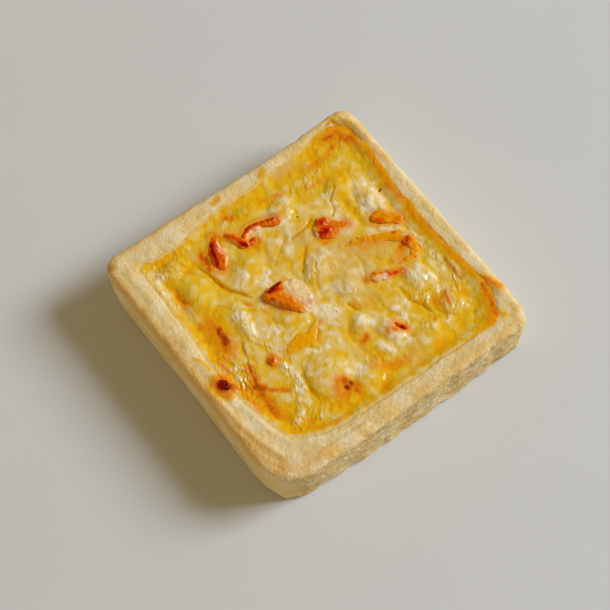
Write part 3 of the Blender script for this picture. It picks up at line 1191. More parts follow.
def filling_base(x, y):
    """The filling's top without its curds and wrinkles."""
    share = np.clip(np.hypot(x, y) / reach(CAVITY, np.arctan2(y, x)), 0.0, 1.0)
    edge = (1 - share) * HALF
    right = smooth_step(x, RIGHT_FROM, RIGHT_TO)
    bank_share = 1 - smooth_step(edge / (BANK_WIDTH + RIGHT_WIDENING * right), 0.0, 1.0)
    dome = MIDDLE_DOME * (1 - share ** 2)
    return FILLING_LEVEL + (BANK_HEIGHT + RIGHT_BANK * right) * bank_share + dome + lumps(x, y)


# Drawing out and closing

def drawn_out(rings, name):
    """A circle extruded ring by ring, with its corners moved to each ring's places in turn."""
    bpy.ops.object.select_all(action="DESELECT")
    bpy.ops.mesh.primitive_circle_add(vertices=len(rings[0]), radius=MM, fill_type="NOTHING")
    piece = named(name)
    bpy.ops.object.mode_set(mode="EDIT")
    bpy.ops.mesh.select_mode(type="VERT")
    bpy.ops.mesh.select_all(action="SELECT")
    shape = bmesh.from_edit_mesh(piece.data)
    station = shape.verts.layers.int.new("station")
    for vert in shape.verts:
        vert[station] = vert.index
    for number, ring in enumerate(rings):
        if number:
            bpy.ops.mesh.extrude_region_move()
            shape = bmesh.from_edit_mesh(piece.data)
            station = shape.verts.layers.int["station"]
        for vert in shape.verts:
            if vert.select:
                vert.co = Vector(ring[vert[station]]) * MM
        bmesh.update_edit_mesh(piece.data)
    bpy.ops.object.mode_set(mode="OBJECT")
    piece.data.attributes.remove(piece.data.attributes["station"])
    return piece


def close_ends(piece):
    """Each open loop closed with a face, and all faces turned outwards."""
    work_on(piece)
    bpy.ops.object.mode_set(mode="EDIT")
    bpy.ops.mesh.select_all(action="SELECT")
    bpy.ops.mesh.fill_holes(sides=0)
    bpy.ops.mesh.select_all(action="SELECT")
    bpy.ops.mesh.normals_make_consistent(inside=False)
    bpy.ops.object.mode_set(mode="OBJECT")


def finish_piece(piece, finish, nodes):
    """The piece smoothed, given its finish and set on the body for its nodes."""
    piece.data.materials.clear()
    piece.data.materials.append(finish)
    piece.data.shade_smooth()
    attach(piece, "root")
    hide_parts(*nodes)


# Pastry case

def case_rings(angles):
    """The case's section at each angle, from its foot, up the wall, over the rim and down to its floor."""
    degrees = np.degrees(angles)
    outer = reach(RIM, angles) + np.interp(degrees, *zip(*RIM_OFFSETS), period=360.0)
    foot = np.interp(degrees, *zip(*FOOT_OFFSETS), period=360.0)
    inner = reach(CAVITY, angles)
    shoulder = np.minimum(SHOULDER_ROUND, SHOULDER_SHARE * (outer - inner))
    around = np.stack([outer * np.cos(angles), outer * np.sin(angles), 0 * angles], axis=1)
    top = HEIGHT - RIM_WAVE * (0.5 + grain(around, RIM_WAVE_SIZE))
    rows = [(inset(outer, WALL_DRAFT + FOOT_ROUND) + foot, 0 * angles)]
    for share in np.arange(WALL_RINGS) / WALL_RINGS:
        height = FOOT_ROUND * (1 - share) + (top - shoulder) * share
        rows.append((inset(outer, WALL_DRAFT * (1 - height / HEIGHT)) + foot * (1 - share), height))
    for turn in np.linspace(0.0, math.pi / 2, SHOULDER_STEPS + 1):
        rows.append((inset(outer, shoulder * (1 - math.cos(turn))), top - shoulder * (1 - math.sin(turn))))
    flat = inset(outer, shoulder)
    for share in np.linspace(0.0, 1.0, RIM_STEPS + 1)[1:]:
        rows.append((flat + (inner + LIP_ROUND - flat) * share, top - LIP_DROP * share))
    for drop in (LIP_ROUND, CAVITY_RING_DEPTH, HEIGHT - FLOOR_HEIGHT):
        rows.append((cavity_radius(angles, top - drop), top - LIP_DROP - drop))
    return [
        np.stack([radius * np.cos(angles), radius * np.sin(angles), height], axis=1)
        for radius, height in rows
    ]


def crumbly_side(x, y):
    """How much each point belongs to the crumbly side, towards -Y, from 0 to 1."""
    return smooth_step(-y / HALF, *CRUMBLY_NEAR) * smooth_step(x / HALF, *CRUMBLY_LEFT)


def make_pastry_case(finish):
    half = CASE_STATIONS // 2
    shares = crowded(np.arange(-half, half) / half)
    angles = np.concatenate([np.arctan(shares) + side * math.pi / 2 for side in range(4)])
    piece = drawn_out(case_rings(angles), "crust")
    rounded(piece, CASE_LEVELS)
    close_ends(piece)
    shape_crust(piece)
    finish_piece(piece, finish, ["pastry_case"])


def crumb_shares(points, outward, layered):
    """The crumbs of the crumbly side, coarse and fine, from 0 between them to 1 on their tops."""
    pushed = layered + CRUMB_PUSH * outward * grain(points, CRUMB_PUSH_SIZE, 6.0)[:, None]
    return sum(crumbs(spots, size) for spots, size in zip((pushed, points), CRUMB_SIZES)) / 2


def shape_crust(piece):
    """The crust's relief, and what is painted on it."""
    points, outward = places(piece), normals(piece)
    x, y, z = points.T
    angle = np.arctan2(y, x)
    share = np.hypot(x, y) / reach(CAVITY, angle)
    outer_share = np.hypot(x, y) / reach(RIM, angle)
    shown = smooth_step(z, *RELIEF_HEIGHTS) * smooth_step(share, *RELIEF_SHARES)
    rim = smooth_step(z, *RIM_HEIGHTS)
    below_rim = 1 - smooth_step(z + waves(points, WALL_TOP_WAVES), *WALL_TOP)
    wall = smooth_step(outer_share, *WALL_SHARES) * below_rim
    crumbly = wall * crumbly_side(x, y)
    layered = points * LAYERS
    crumb = crumb_shares(points, outward, layered)
    edge_angle, edge_width, edge_out = CORNER_EDGE
    corner = np.exp(-((np.degrees(angle) - edge_angle) / edge_width) ** 2)
    crumbly_relief = waves(layered, CRUMBLY_WAVES) + CRUMB_HEIGHT * (crumb - 0.5)
    crumbly_relief += (1 - smooth_step(z, 0.0, FOOT_TO)) * (waves(points, FOOT_WAVES) - FOOT_TUCK)
    relief = waves(points, CRUST_WAVES) + wall * (waves(points, WALL_WAVES) + edge_out * corner)
    relief += crumbly * crumbly_relief
    relief += rim * (stroked(x, y, RIM_RIDGES) - CRACK_DEPTH * stroked(x, y, RIM_CRACKS))
    place(piece, points + outward * (relief * shown)[:, None])
    crevice = CREVICE_LEAST + waves(layered, CREVICE_WAVES) + CREVICE_DEPTH * (CREVICE_LEVEL - crumb)
    ragged_share = share + waves(points, SOAKED_WAVES)
    yolk = stroked(*wandering(x, y, SHARP_WANDER), RIM_YOLK) / YOLK_TOP
    mark(piece, "wall", wall)
    mark(piece, "crevice", crumbly * crevice)
    mark(piece, "browned", smooth_step(z, *BROWNED_HEIGHTS) * stroked(x, y, RIM_BROWN))
    mark(piece, "crack", rim * stroked(x, y, RIM_CRACKS))
    mark(piece, "yolk", rim * yolk)
    mark(piece, "soaked", SOAKED * (1 - smooth_step(ragged_share, *SOAKED_SHARES)))


# Egg filling

def shreds(x, y):
    """Short shreds of melted cheese, scattered over the filling and lying much the same way."""
    chance = np.random.default_rng(SHRED_SEED)
    cover = np.zeros(np.shape(x))
    for _ in range(SHREDS):
        middle_x, middle_y = (chance.uniform(*span) for span in SHRED_MIDDLES)
        heading = math.radians(chance.normal(SHRED_HEADING, SHRED_SPREAD))
        length, half_width = chance.uniform(*SHRED_LENGTHS), chance.uniform(*SHRED_WIDTHS)
        strength = chance.uniform(*SHRED_STRENGTHS)
        along_x, along_y = length * math.cos(heading), length * math.sin(heading)
        near = (np.abs(x - middle_x) < SHRED_NEAR) & (np.abs(y - middle_y) < SHRED_NEAR)
        route = ((middle_x - along_x, middle_y - along_y), (middle_x + along_x, middle_y + along_y))
        stroke = strength * np.exp(-(distance_to(x[near], y[near], route) / half_width) ** 2)
        cover[near] = np.maximum(cover[near], stroke)
    return cover


def meat_collars(x, y):
    """The soft collar of egg round the meat, and the juice that the meat lets out."""
    bed, collar, juice = np.zeros(np.shape(x)), np.zeros(np.shape(x)), np.zeros(np.shape(x))
    for route, half_width, strength in MEAT_BEDS:
        gap = distance_to(x, y, route) - half_width
        outside = np.clip(gap, 0.0, None)
        bed = np.maximum(bed, 1 - smooth_step(gap, *BED_EDGES))
        collar = np.maximum(collar, np.exp(-(outside / COLLAR_REACH) ** 2))
        juice = np.maximum(juice, JUICE_STRENGTH * strength * np.exp(-(outside / JUICE_REACH) ** 2))
    return np.clip(collar - bed, 0.0, 1.0), juice


def filling_noises(x, y, there):
    """Noise over the filling, by name; the swirled kinds follow the places that wander."""
    flat, swirled = np.stack([x, y, 0 * x], axis=1), np.stack([*there, 0 * x], axis=1)
    brushed = lengthwise(flat, SHRED_HEADING) * WRINKLE_STRETCH
    return {
        "broken": waves(swirled, BROKEN_WAVES),
        "cloudy": grain(swirled, 3.2, 23.0),
        "curd": np.abs(grain(swirled, 4.2, 2.0)) - 0.25,
        "strands": (1 - np.abs(grain(swirled * STRAND_STRETCH, 3.4, 12.0))) ** 7,
        "valleys": (1 - np.abs(grain(swirled, 6.0, 15.0))) ** 14,
        "wrinkle": np.abs(grain(brushed, 1.3, 4.0)) - 0.25,
        "patch": grain(flat, 6.0, 8.0),
        "mottle": grain(flat, 2.2, 9.0),
        "fine": grain(flat, 0.7, 6.0),
        "ragged": grain(flat, 2.4, 30.0),
    }


def stroke_fields(noises, there, sharper):
    """The egg's painted strokes, by name, broken up by the noises."""
    fields = {}
    for name, (strokes, sharp, even, broken, cloudy, least, most) in EGG_STROKES.items():
        patchy = np.clip(even + broken * noises["broken"] + cloudy * noises["cloudy"], least, most)
        fields[name] = stroked(*(sharper if sharp else there), strokes) * patchy
    return fields


def summed(amounts, fields):
    return sum(amount * fields[name] for name, amount in amounts.items())


def filling_fields(x, y):
    """The filling's height and everything painted on it, at the given places."""
    share = np.hypot(x, y) / reach(CAVITY, np.arctan2(y, x))
    edge = np.clip((1 - share) * HALF, 0.0, None)
    there, sharper, folded = (wandering(x, y, push) for push in (1.0, SHARP_WANDER, FOLD_WANDER))
    field = filling_noises(x, y, there)
    field.update(stroke_fields(field, there, sharper))
    wrinkled = np.maximum(stroked(*there, WRINKLED), WRINKLED_ELSEWHERE)
    busy = CALM + (1 - CALM) * wrinkled
    field["wrinkle"] *= wrinkled
    field["strands"] *= busy
    field["busy_valleys"] = busy * field["valleys"]
    field["shred"] = shreds(x, y) * smooth_step(edge, *SHRED_EDGES) * busy
    field["fold"] = stroked(*folded, [stroke[:3] for stroke in CREASES])
    field["ledge"] = ledges(*folded)
    field["collar"], juice = meat_collars(x, y)
    browned = stroked(*sharper, BROWNED)
    field["browned"] = np.maximum(browned + np.minimum(browned, 0.5) * 0.3 * field["broken"], juice)
    field["bank"] = smooth_step(x, *BANK_FROM) * (1 - smooth_step(edge, *BANK_EDGES))
    field["border"] = 1 - smooth_step(edge, *BORDER_EDGES)
    crust_edge = edge + CRUSTED_RAGGED * field["ragged"] + CRUSTED_BROKEN * field["broken"]
    crusted = 1 - CRUSTED_LESS * smooth_step(x, *CRUSTED_RIGHT)
    return {
        "height": filling_base(x, y) + summed(EGG_RELIEF, field),
        "tone": TONE_BASE + TONE_SPAN * (TONE_START + summed(EGG_TONE, field)),
        "browned": np.maximum(field["browned"], BANK_BROWNED * field["bank"]),
        "crusted": crusted * (1 - smooth_step(crust_edge, *CRUSTED_EDGES)),
        "wrinkled": wrinkled,
        "pepper": stroked(x, y, PEPPER),
        "fold": field["fold"],
        "dull": field["dull"],
        "lemon": field["lemon"],
    }


def make_egg_filling(finish):
    bpy.ops.object.select_all(action="DESELECT")
    bpy.ops.mesh.primitive_grid_add(x_subdivisions=FILLING_CELLS, y_subdivisions=FILLING_CELLS, size=2 * MM)
    piece = named("filling")
    u, v, _ = places(piece).T
    u, v = crowded(u), crowded(v)
    angle = np.arctan2(v, u)
    square = np.maximum(np.abs(np.cos(angle)), np.abs(np.sin(angle)))
    half_side = inset(reach(CAVITY, angle), -EDGE_OVERLAP) * square
    x, y = u * half_side, v * half_side
    fields = filling_fields(x, y)
    place(piece, np.stack([x, y, fields.pop("height")], axis=1))
    for name, values in fields.items():
        mark(piece, name, values)
    close_below(piece)
    finish_piece(piece, finish, ["egg_filling"])


def close_below(piece):
    """The sheet's border extruded down to the case's floor and closed with one face."""
    work_on(piece)
    bpy.ops.object.mode_set(mode="EDIT")
    bpy.ops.mesh.select_all(action="DESELECT")
    bpy.ops.mesh.select_mode(type="EDGE")
    bpy.ops.mesh.select_non_manifold(extend=False, use_boundary=True, use_wire=False)
    drop = (HEIGHT / 2 - FLOOR_HEIGHT) * MM
    bpy.ops.mesh.extrude_region_move(TRANSFORM_OT_translate={"value": (0.0, 0.0, -drop)})
    middle = (0.0, 0.0, FLOOR_HEIGHT * MM)
    bpy.ops.transform.resize(value=(FOOT_SHARE, FOOT_SHARE, 0.0), center_override=middle)
    bpy.ops.mesh.edge_face_add()
    bpy.ops.mesh.select_all(action="SELECT")
    bpy.ops.mesh.normals_make_consistent(inside=False)
    bpy.ops.object.mode_set(mode="OBJECT")


# Ham and bacon

def resting(point, lift):
    """A place on the filling, raised by the lift."""
    x, y = float(point[0]), float(point[1])
    return Vector((x, y, float(filling_base(np.array([x]), np.array([y]))[0]) + lift))


def strip_rings(route, widths, flatness, lift):
    """Rings of a strip that lies along the route, with its ends drawn in."""
    line = through([(*point, 0) for point in route], STRIP_STEPS)
    shares = np.linspace(0.0, 1.0, len(line))
    breadth = np.interp(shares * (len(widths) - 1), range(len(widths)), widths)
    breadth *= np.sqrt(np.clip(1 - (2 * shares - 1) ** 8, STRIP_END, 1.0))
    breadth *= 1 + RAGGEDNESS * grain([tuple(point) for point in line], RAGGED_SIZE, 5.0)
    rings = []
    for k, point in enumerate(line):
        along = (line[min(k + 1, len(line) - 1)] - line[max(k - 1, 0)]).normalized()
        across = Vector((-along.y, along.x, 0.0))
        middle = resting(point, lift)
        ring = []
        for turn in np.linspace(0.0, math.tau, STRIP_CORNERS, endpoint=False):
            half = breadth[k] / 2 * (1 + FIBRE_DEPTH * math.cos(FIBRES * turn + FIBRE_TWIST * k))
            rise = Vector((0, 0, half * flatness * math.sin(turn)))
            ring.append(middle + across * half * math.cos(turn) + rise)
        rings.append(ring)
    return rings


def slab_rings(outline, thickness, lift, tilt):
    """Rings of a flat piece, from its small underside out to its outline and in over its top."""
    edge = through([(*point, 0) for point in outline], SLAB_STEPS, closed=True)
    middle = sum(edge, Vector((0, 0, 0))) / len(edge)
    push = SLAB_RAGGED * grain([tuple(point) for point in edge], SLAB_RAGGED_SIZE, 6.0)
    edge = [point + (point - middle).normalized() * float(out) for point, out in zip(edge, push)]
    turned = Euler([math.radians(angle) for angle in tilt]).to_matrix()
    rings = []
    for spread, rise in SLAB_SECTION:
        up = Vector((0, 0, rise * thickness))
        ring = [middle + turned @ ((point - middle) * spread + up) for point in edge]
        rings.append([resting(point, lift + point.z) for point in ring])
    return rings


def knob_rings(middle, half_lengths, turn, lift):
    """Rings of a rounded knob, from its underside to its top."""
    base = resting(middle, lift)
    turned = Matrix.Rotation(math.radians(turn), 3, "Z")
    return [
        [
            base + turned @ Vector((
                half_lengths[0] * math.cos(rise) * math.cos(step),
                half_lengths[1] * math.cos(rise) * math.sin(step),
                half_lengths[2] * math.sin(rise),
            ))
            for step in np.linspace(0.0, math.tau, KNOB_CORNERS, endpoint=False)
        ]
        for rise in np.linspace(-KNOB_REACH, KNOB_REACH, KNOB_RINGS)
    ]


def shaped(rings, name):
    """A closed, rounded piece drawn out through the rings."""
    piece = drawn_out(rings, name)
    close_ends(piece)
    rounded(piece, MEAT_LEVELS)
    return piece


def joined(pieces):
    """Several shapes as one piece, under the first one's name."""
    work_on(pieces[0])
    for piece in pieces[1:]:
        piece.select_set(True)
    if len(pieces) > 1:
        bpy.ops.object.join()
    return pieces[0]


def dress_meat(piece, node, kind, finish, slot):
    """The piece crumpled, painted where it is burnt, red or fat, and set in the node's place."""
    points = places(piece)
    move = CRUMPLING[kind] * waves(points, MEAT_CRUMPLE)
    place(piece, points + normals(piece) * move[:, None])
    x, y, z = places(piece).T
    there = wandering(x, y, SHARP_WANDER)
    marks = {label: stroked(*there, strokes) for label, strokes in MEAT_MARKS.items()}
    done = DONENESS[kind] + FLECKS[kind] * grain(points, 1.1, 11.0)
    for label, share in MARK_DONENESS.items():
        done = np.maximum(done, (share + FLECKS[kind] * grain(points, 0.8, 14.0)) * marks[label])
    fields = filling_fields(x, y)
    mark(piece, "tone", fields["tone"])
    mark(piece, "sunk", np.maximum(1 - smooth_step(z - fields["height"], *SUNK_HEIGHTS), marks["egg"]))
    mark(piece, "done", done)
    mark(piece, "fat", marks["fat"])
    mark(piece, "mauve", marks["mauve"])
    finish_piece(piece, finish, [node])


def make_meat(finishes):
    """All the ham and bacon; the finishes are a material and a slot for each kind."""
    for node, (runs, flatness, lift, kind) in STRIPS.items():
        shapes = [
            shaped(strip_rings(route, widths, flatness, lift), node + "_meat") for route, widths in runs
        ]
        dress_meat(joined(shapes), node, kind, *finishes[kind])
    for node, (outline, thickness, lift, tilt, kind) in SLABS.items():
        piece = shaped(slab_rings(outline, thickness, lift, tilt), node + "_meat")
        dress_meat(piece, node, kind, *finishes[kind])
    for node, (middle, half_lengths, turn, lift, kind) in KNOBS.items():
        piece = shaped(knob_rings(middle, half_lengths, turn, lift), node + "_meat")
        dress_meat(piece, node, kind, *finishes[kind])


# Shader nodes

class Wire:
    """A shader socket, on which sums and products add their own nodes."""

    def __init__(self, paint, socket):
        self.paint = paint
        self.socket = socket

    def __add__(self, other):
        return self.paint.math("ADD", self, other)

    def __sub__(self, other):
        return self.paint.math("SUBTRACT", self, other)

    def __mul__(self, other):
        return self.paint.math("MULTIPLY", self, other)

    def __rsub__(self, other):
        return self.paint.math("SUBTRACT", other, self)

    __radd__ = __add__
    __rmul__ = __mul__


class Paint:
    """One material, built node by node."""

    def __init__(self, name):
        self.material = bpy.data.materials.new(name)
        self.material.use_nodes = True
        self.tree = self.material.node_tree
        self.tree.nodes.clear()
        self.place = self.node("ShaderNodeTexCoord", output="Object")

    def node(self, kind, settings=None, values=None, output=0, stops=None):
        """A node with its settings and ramp stops made first, then its sockets' values or links."""
        node = self.tree.nodes.new(kind)
        for key, value in (settings or {}).items():
            setattr(node, key, value)
        if stops:
            ramp = node.color_ramp.elements
            while len(ramp) < len(stops):
                ramp.new(0.5)
            for element, (spot, colour) in zip(ramp, stops):
                element.position = spot
                element.color = (*colour, 1.0)
        for key, value in (values or {}).items():
            if isinstance(value, Wire):
                self.tree.links.new(value.socket, node.inputs[key])
            else:
                node.inputs[key].default_value = value
        return Wire(self, node.outputs[output]) if len(node.outputs) else None

    def math(self, operation, *values):
        return self.node("ShaderNodeMath", {"operation": operation}, dict(enumerate(values)))

    def between(self, value, low, high):
        """The value as a smooth share from 0 at low to 1 at high."""
        settings = {"interpolation_type": "SMOOTHSTEP"}
        values = {"Value": value, "From Min": low, "From Max": high}
        return self.node("ShaderNodeMapRange", settings, values)

    def mark(self, name):
        return self.node("ShaderNodeAttribute", {"attribute_name": name}, output="Fac")

    def grain(self, size, detail=3.0, stretch=(1.0, 1.0, 1.0), turn=0.0):
        """Noise from 0 to 1, its lumps about the given size in millimetres, stretched along a heading."""
        values = {"Vector": self.place, "Rotation": (0, 0, math.radians(-turn))}
        turned = self.node("ShaderNodeMapping", values=values)
        spot = self.node("ShaderNodeMapping", values={"Vector": turned, "Scale": stretch})
        values = {"Vector": spot, "Scale": 1 / (size * MM), "Detail": detail, "Roughness": 0.55}
        return self.node("ShaderNodeTexNoise", values=values)

    def pits(self, size):
        """Distances to scattered points, from 0 at a point."""
        return self.node("ShaderNodeTexVoronoi", values={"Vector": self.place, "Scale": 1 / (size * MM)})

    def ramp(self, value, *stops):
        """Colours laid along the value, each stop a place and a colour."""
        return self.node("ShaderNodeValToRGB", values={"Fac": value}, stops=stops)

    def mix(self, share, first, second):
        """One colour turned towards another by the share."""
        first, second = ((*c, 1.0) if isinstance(c, tuple) else c for c in (first, second))
        return self.node("ShaderNodeMix", {"data_type": "RGBA"}, {0: share, 6: first, 7: second}, output=2)

    def bump(self, height, depth, before=None):
        """A bump of the given depth in millimetres, over one before it if there is one."""
        values = {"Height": height, "Distance": depth * MM}
        if before:
            values["Normal"] = before
        return self.node("ShaderNodeBump", values=values)

    def finish(self, colour, roughness, normal, **constants):
        """The surface itself; the constants are the shader's own named sockets, in plain words."""
        names = {
            "soft": "Subsurface Weight", "soft_radius": "Subsurface Radius",
            "soft_scale": "Subsurface Scale", "coat": "Coat Weight", "coat_roughness": "Coat Roughness",
            "shine": "Specular IOR Level",
        }
        values = {"Base Color": colour, "Roughness": roughness, "Normal": normal}
        values.update({names[key]: value for key, value in constants.items()})
        shader = self.node("ShaderNodeBsdfPrincipled", values=values)
        self.node("ShaderNodeOutputMaterial", values={"Surface": shader})
        return self.material


# Finishes

PALE_CRUST = (0.86, 0.71, 0.43)
SANDY_CRUST = (0.80, 0.58, 0.22)
GOLDEN_CRUST = (0.78, 0.46, 0.12)
BROWN_CRUST = (0.56, 0.22, 0.025)
CREVICE_CRUST = (0.60, 0.41, 0.15)
CRUST_SPECK = (0.22, 0.12, 0.03)
SOAKED_CRUST = (0.82, 0.44, 0.01)

WHITE_CURD = (0.91, 0.77, 0.49)
PALE_CURD = (0.84, 0.61, 0.215)
YELLOW_CURD = (0.80, 0.515, 0.055)
GOLDEN_EGG = (0.82, 0.455, 0.001)
DEEP_GOLD = (0.81, 0.385, 0.001)
RICH_GOLD = (0.80, 0.28, 0.001)
EGG_TONES = (
    (-0.4, RICH_GOLD), (0.0, DEEP_GOLD), (0.25, GOLDEN_EGG),
    (0.5, YELLOW_CURD), (0.75, PALE_CURD), (1.0, WHITE_CURD),
)
FOLDED_EGG = (0.58, 0.27, 0.003)
LEMON_EGG = (0.81, 0.53, 0.02)
DULL_EGG = (0.70, 0.465, 0.165)
JUICE = (0.83, 0.25, 0.001)
TOASTED = (0.44, 0.07, 0.001)
SCORCHED = (0.15, 0.010, 0.001)

BACON_RED = (0.66, 0.030, 0.001)
BROWNED_RED = (0.55, 0.075, 0.002)
DARK_RED = (0.36, 0.006, 0.001)
BACON_BASE = (0.80, 0.13, 0.002)
AMBER = (0.84, 0.26, 0.001)
GOLDEN_FLAKE = (0.92, 0.42, 0.001)
FAT = (0.90, 0.58, 0.34)
HAM_PINK = (0.85, 0.64, 0.33)
MAUVE = (0.60, 0.30, 0.20)
CHARRED = (0.12, 0.006, 0.001)


def crust_finish():
    paint = Paint("baked_shortcrust")
    patches, flecks, crumb = paint.grain(7.0, 2.0), paint.grain(1.3, 3.0), paint.grain(0.4, 2.0)
    sandy = paint.between(patches * 1.1 + flecks * 0.5 + crumb * 0.3, 0.72, 1.14)
    colour = paint.mix(sandy, PALE_CRUST, SANDY_CRUST)
    baked = paint.mark("browned") + paint.mark("wall") * 0.1 + patches * 0.4 + flecks * 0.3
    colour = paint.mix(paint.between(baked, 0.5, 1.1) * 0.8, colour, GOLDEN_CRUST)
    colour = paint.mix(paint.between(baked, 1.05, 1.5) * 0.7, colour, BROWN_CRUST)
    colour = paint.mix(paint.between(paint.mark("crevice") + flecks * 0.4, 0.3, 1.0), colour, CREVICE_CRUST)
    specks = 1 - paint.between(paint.pits(2.4), 0.05, 0.13)
    colour = paint.mix(specks * paint.between(paint.grain(3.0), 0.5, 0.62) * 0.6, colour, CRUST_SPECK)
    colour = paint.mix(paint.between(paint.mark("crack") + flecks * 0.2, 0.4, 0.9), colour, BROWN_CRUST)
    colour = paint.mix(paint.mark("soaked"), colour, SOAKED_CRUST)
    yolk = paint.mark("yolk") * YOLK_TOP + flecks * 0.5
    colour = paint.mix(paint.between(yolk, 0.3, 1.0) * 0.85, colour, GOLDEN_EGG)
    colour = paint.mix(paint.between(yolk, 0.9, 1.5) * 0.9, colour, JUICE)
    colour = paint.mix(paint.between(yolk, 2.0, 3.4) * 0.9, colour, TOASTED)
    normal = paint.bump(crumb + flecks * 1.5 - specks * 0.5, 0.24)
    return paint.finish(colour, 0.65 + flecks * 0.25, normal, soft=0.06, soft_scale=0.002, shine=0.25)


def egg_tones(paint, extra):
    """The egg's colours from rich gold to white curd, laid along the painted tone."""
    stops = [(TONE_BASE + TONE_SPAN * tone, colour) for tone, colour in EGG_TONES]
    return paint.ramp(paint.mark("tone") + extra * TONE_SPAN, *stops)


def browning(paint, colour, done):
    """The colour turned orange, then brown, then burnt dark red as the doneness grows."""
    colour = paint.mix(paint.between(done, 0.14, 0.5), colour, JUICE)
    colour = paint.mix(paint.between(done, 0.42, 0.72) * 0.9, colour, TOASTED)
    return paint.mix(paint.between(done, 0.7, 0.92), colour, SCORCHED)


def egg_finish():
    paint = Paint("baked_egg_and_cheese")
    mottle, fine = paint.grain(1.2, 4.0), paint.grain(0.4, 2.0)
    streaks = paint.grain(0.55, 2.0, stretch=(0.3, 1.0, 1.0), turn=SHRED_HEADING)
    wrinkled = paint.mark("wrinkled")
    colour = egg_tones(paint, mottle * 0.24 + fine * 0.08 + wrinkled * (streaks - 0.5) * 0.5 - 0.16)
    colour = paint.mix(paint.mark("lemon") * 0.75, colour, LEMON_EGG)
    colour = paint.mix(paint.mark("dull") * 0.7, colour, DULL_EGG)
    colour = paint.mix(paint.between(paint.mark("fold") + mottle * 0.4, 0.4, 1.1) * 0.8, colour, FOLDED_EGG)
    crusted = paint.between(paint.mark("crusted") + mottle * 0.5, 0.45, 1.2)
    colour = paint.mix(crusted * 0.85, colour, SANDY_CRUST)
    colour = browning(paint, colour, paint.mark("browned") + mottle * 0.2 + fine * 0.06 - 0.12)
    colour = paint.mix(paint.between(paint.mark("pepper"), 0.35, 0.6), colour, CHARRED)
    normal = paint.bump(mottle * 0.3 + fine * 0.15 + wrinkled * streaks * 2.0, 0.2)
    return paint.finish(
        colour, 0.38 + mottle * 0.25, normal, coat=0.3 + wrinkled * 0.65,
        soft=0.12, soft_radius=(1.0, 0.6, 0.25), soft_scale=0.0012, coat_roughness=0.10, shine=0.04,
    )


def meat_finish(name, pale, red=BACON_RED):
    """A finish for meat, from its pale colour through amber and red to burnt, with fat and mauve places."""
    paint = Paint(name)
    mottle, fine = paint.grain(0.8, 3.0), paint.grain(0.3, 2.0)
    done = paint.mark("done") + mottle * 0.3 + fine * 0.1 - 0.2
    colour = paint.ramp(
        done, (0.0, pale), (0.22, AMBER), (0.42, BACON_BASE), (0.62, red), (0.8, DARK_RED), (1.0, CHARRED),
    )
    colour = paint.mix(paint.between(paint.mark("mauve") + mottle * 0.2, 0.3, 1.1) * 0.8, colour, MAUVE)
    colour = paint.mix(paint.between(paint.mark("fat") + mottle * 0.6, 0.6, 1.1) * 0.85, colour, FAT)
    sunk = paint.between(paint.mark("sunk") + mottle * 0.5, 0.6, 1.2)
    colour = paint.mix(sunk, colour, paint.mix(0.3, egg_tones(paint, mottle * 0.2 - 0.1), JUICE))
    normal = paint.bump(mottle + fine * 0.5, 0.25)
    return paint.finish(
        colour, 0.36 + mottle * 0.3, normal,
        soft=0.1, soft_radius=(1.0, 0.4, 0.2), soft_scale=0.001, coat=0.16, coat_roughness=0.14, shine=0.02,
    )


# Stage

def towards(azimuth, elevation):
    """The direction at an azimuth anticlockwise from +X and an elevation, in radians."""
    level = math.cos(elevation)
    return Vector((math.cos(azimuth) * level, math.sin(azimuth) * level, math.sin(elevation)))


def camera_axes():
    """The camera's right, up and backward directions."""
    elevation, azimuth = math.radians(CAMERA_ELEVATION), math.radians(CAMERA_AZIMUTH)
    roll = math.radians(CAMERA_ROLL)
    back = towards(azimuth - math.pi / 2, elevation)
    level = Vector((math.cos(azimuth), math.sin(azimuth), 0.0))
    upright = back.cross(level)
    right = math.cos(roll) * level + math.sin(roll) * upright
    up = math.cos(roll) * upright - math.sin(roll) * level
    return right, up, back


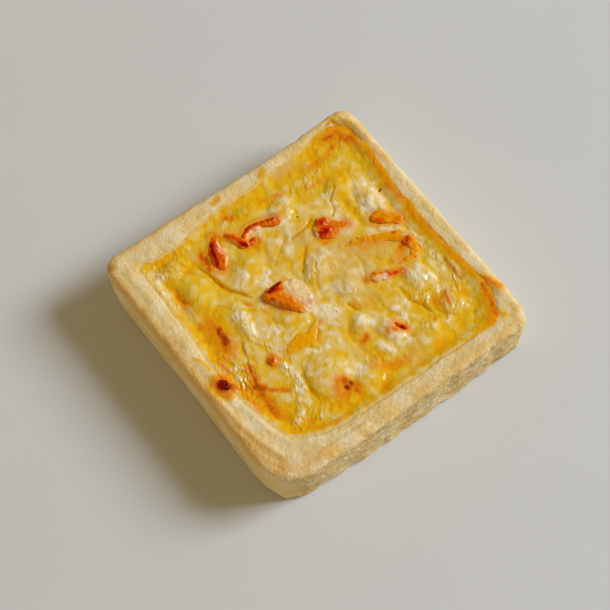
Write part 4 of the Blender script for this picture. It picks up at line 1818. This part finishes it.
def make_camera():
    right, up, back = camera_axes()
    data = bpy.data.cameras.new("camera")
    data.lens = CAMERA_LENS
    data.sensor_width = CAMERA_SENSOR
    data.clip_start, data.clip_end = CAMERA_CLIPS
    camera = bpy.data.objects.new("camera", data)
    turn = Matrix((right, up, back)).transposed().to_4x4()
    spot = (back * CAMERA_DISTANCE + right * CAMERA_RIGHT + up * CAMERA_UP) * MM
    camera.matrix_world = Matrix.Translation(spot) @ turn
    bpy.context.scene.collection.objects.link(camera)
    bpy.context.scene.camera = camera


def make_light(name, azimuth, elevation, distance, size, watts, colour):
    """A square soft light aimed at the quiche; azimuth runs anticlockwise from +X, in degrees."""
    data = bpy.data.lights.new(name, "AREA")
    data.size = size
    data.energy = watts
    data.color = colour
    light = bpy.data.objects.new(name, data)
    away = towards(math.radians(azimuth), math.radians(elevation))
    light.location = away * distance
    light.rotation_euler = away.to_track_quat("Z", "Y").to_euler()
    bpy.context.scene.collection.objects.link(light)


def make_stage():
    world = bpy.data.worlds.new("studio")
    world.use_nodes = True
    background = world.node_tree.nodes["Background"]
    background.inputs["Color"].default_value = ROOM_COLOUR
    background.inputs["Strength"].default_value = ROOM_STRENGTH
    bpy.context.scene.world = world
    bpy.context.scene.view_settings.view_transform = "Standard"
    for name, settings in LIGHTS.items():
        make_light(name, *settings)
    bpy.ops.object.select_all(action="DESELECT")
    bpy.ops.mesh.primitive_plane_add(size=FLOOR_SIZE)
    floor = named("floor")
    paint = Paint("pale_floor")
    colour = paint.mix(paint.grain(60.0), *FLOOR_COLOURS)
    floor.data.materials.append(paint.finish(colour, 0.6, paint.bump(paint.grain(40.0), 0.01)))


def main():
    make_camera()
    make_stage()
    make_pastry_case(crust_finish())
    make_egg_filling(egg_finish())
    make_meat({
        "bacon": (meat_finish("crisp_bacon", AMBER), "bacon"),
        "browned": (meat_finish("browned_bacon", GOLDEN_FLAKE, BROWNED_RED), "browned_bacon"),
        "golden": (meat_finish("golden_ham", GOLDEN_FLAKE), "browned_bacon"),
        "ham": (meat_finish("baked_ham", HAM_PINK), "ham"),
        "burnt": (meat_finish("burnt_edge", AMBER), "burnt_edge"),
    })


main()
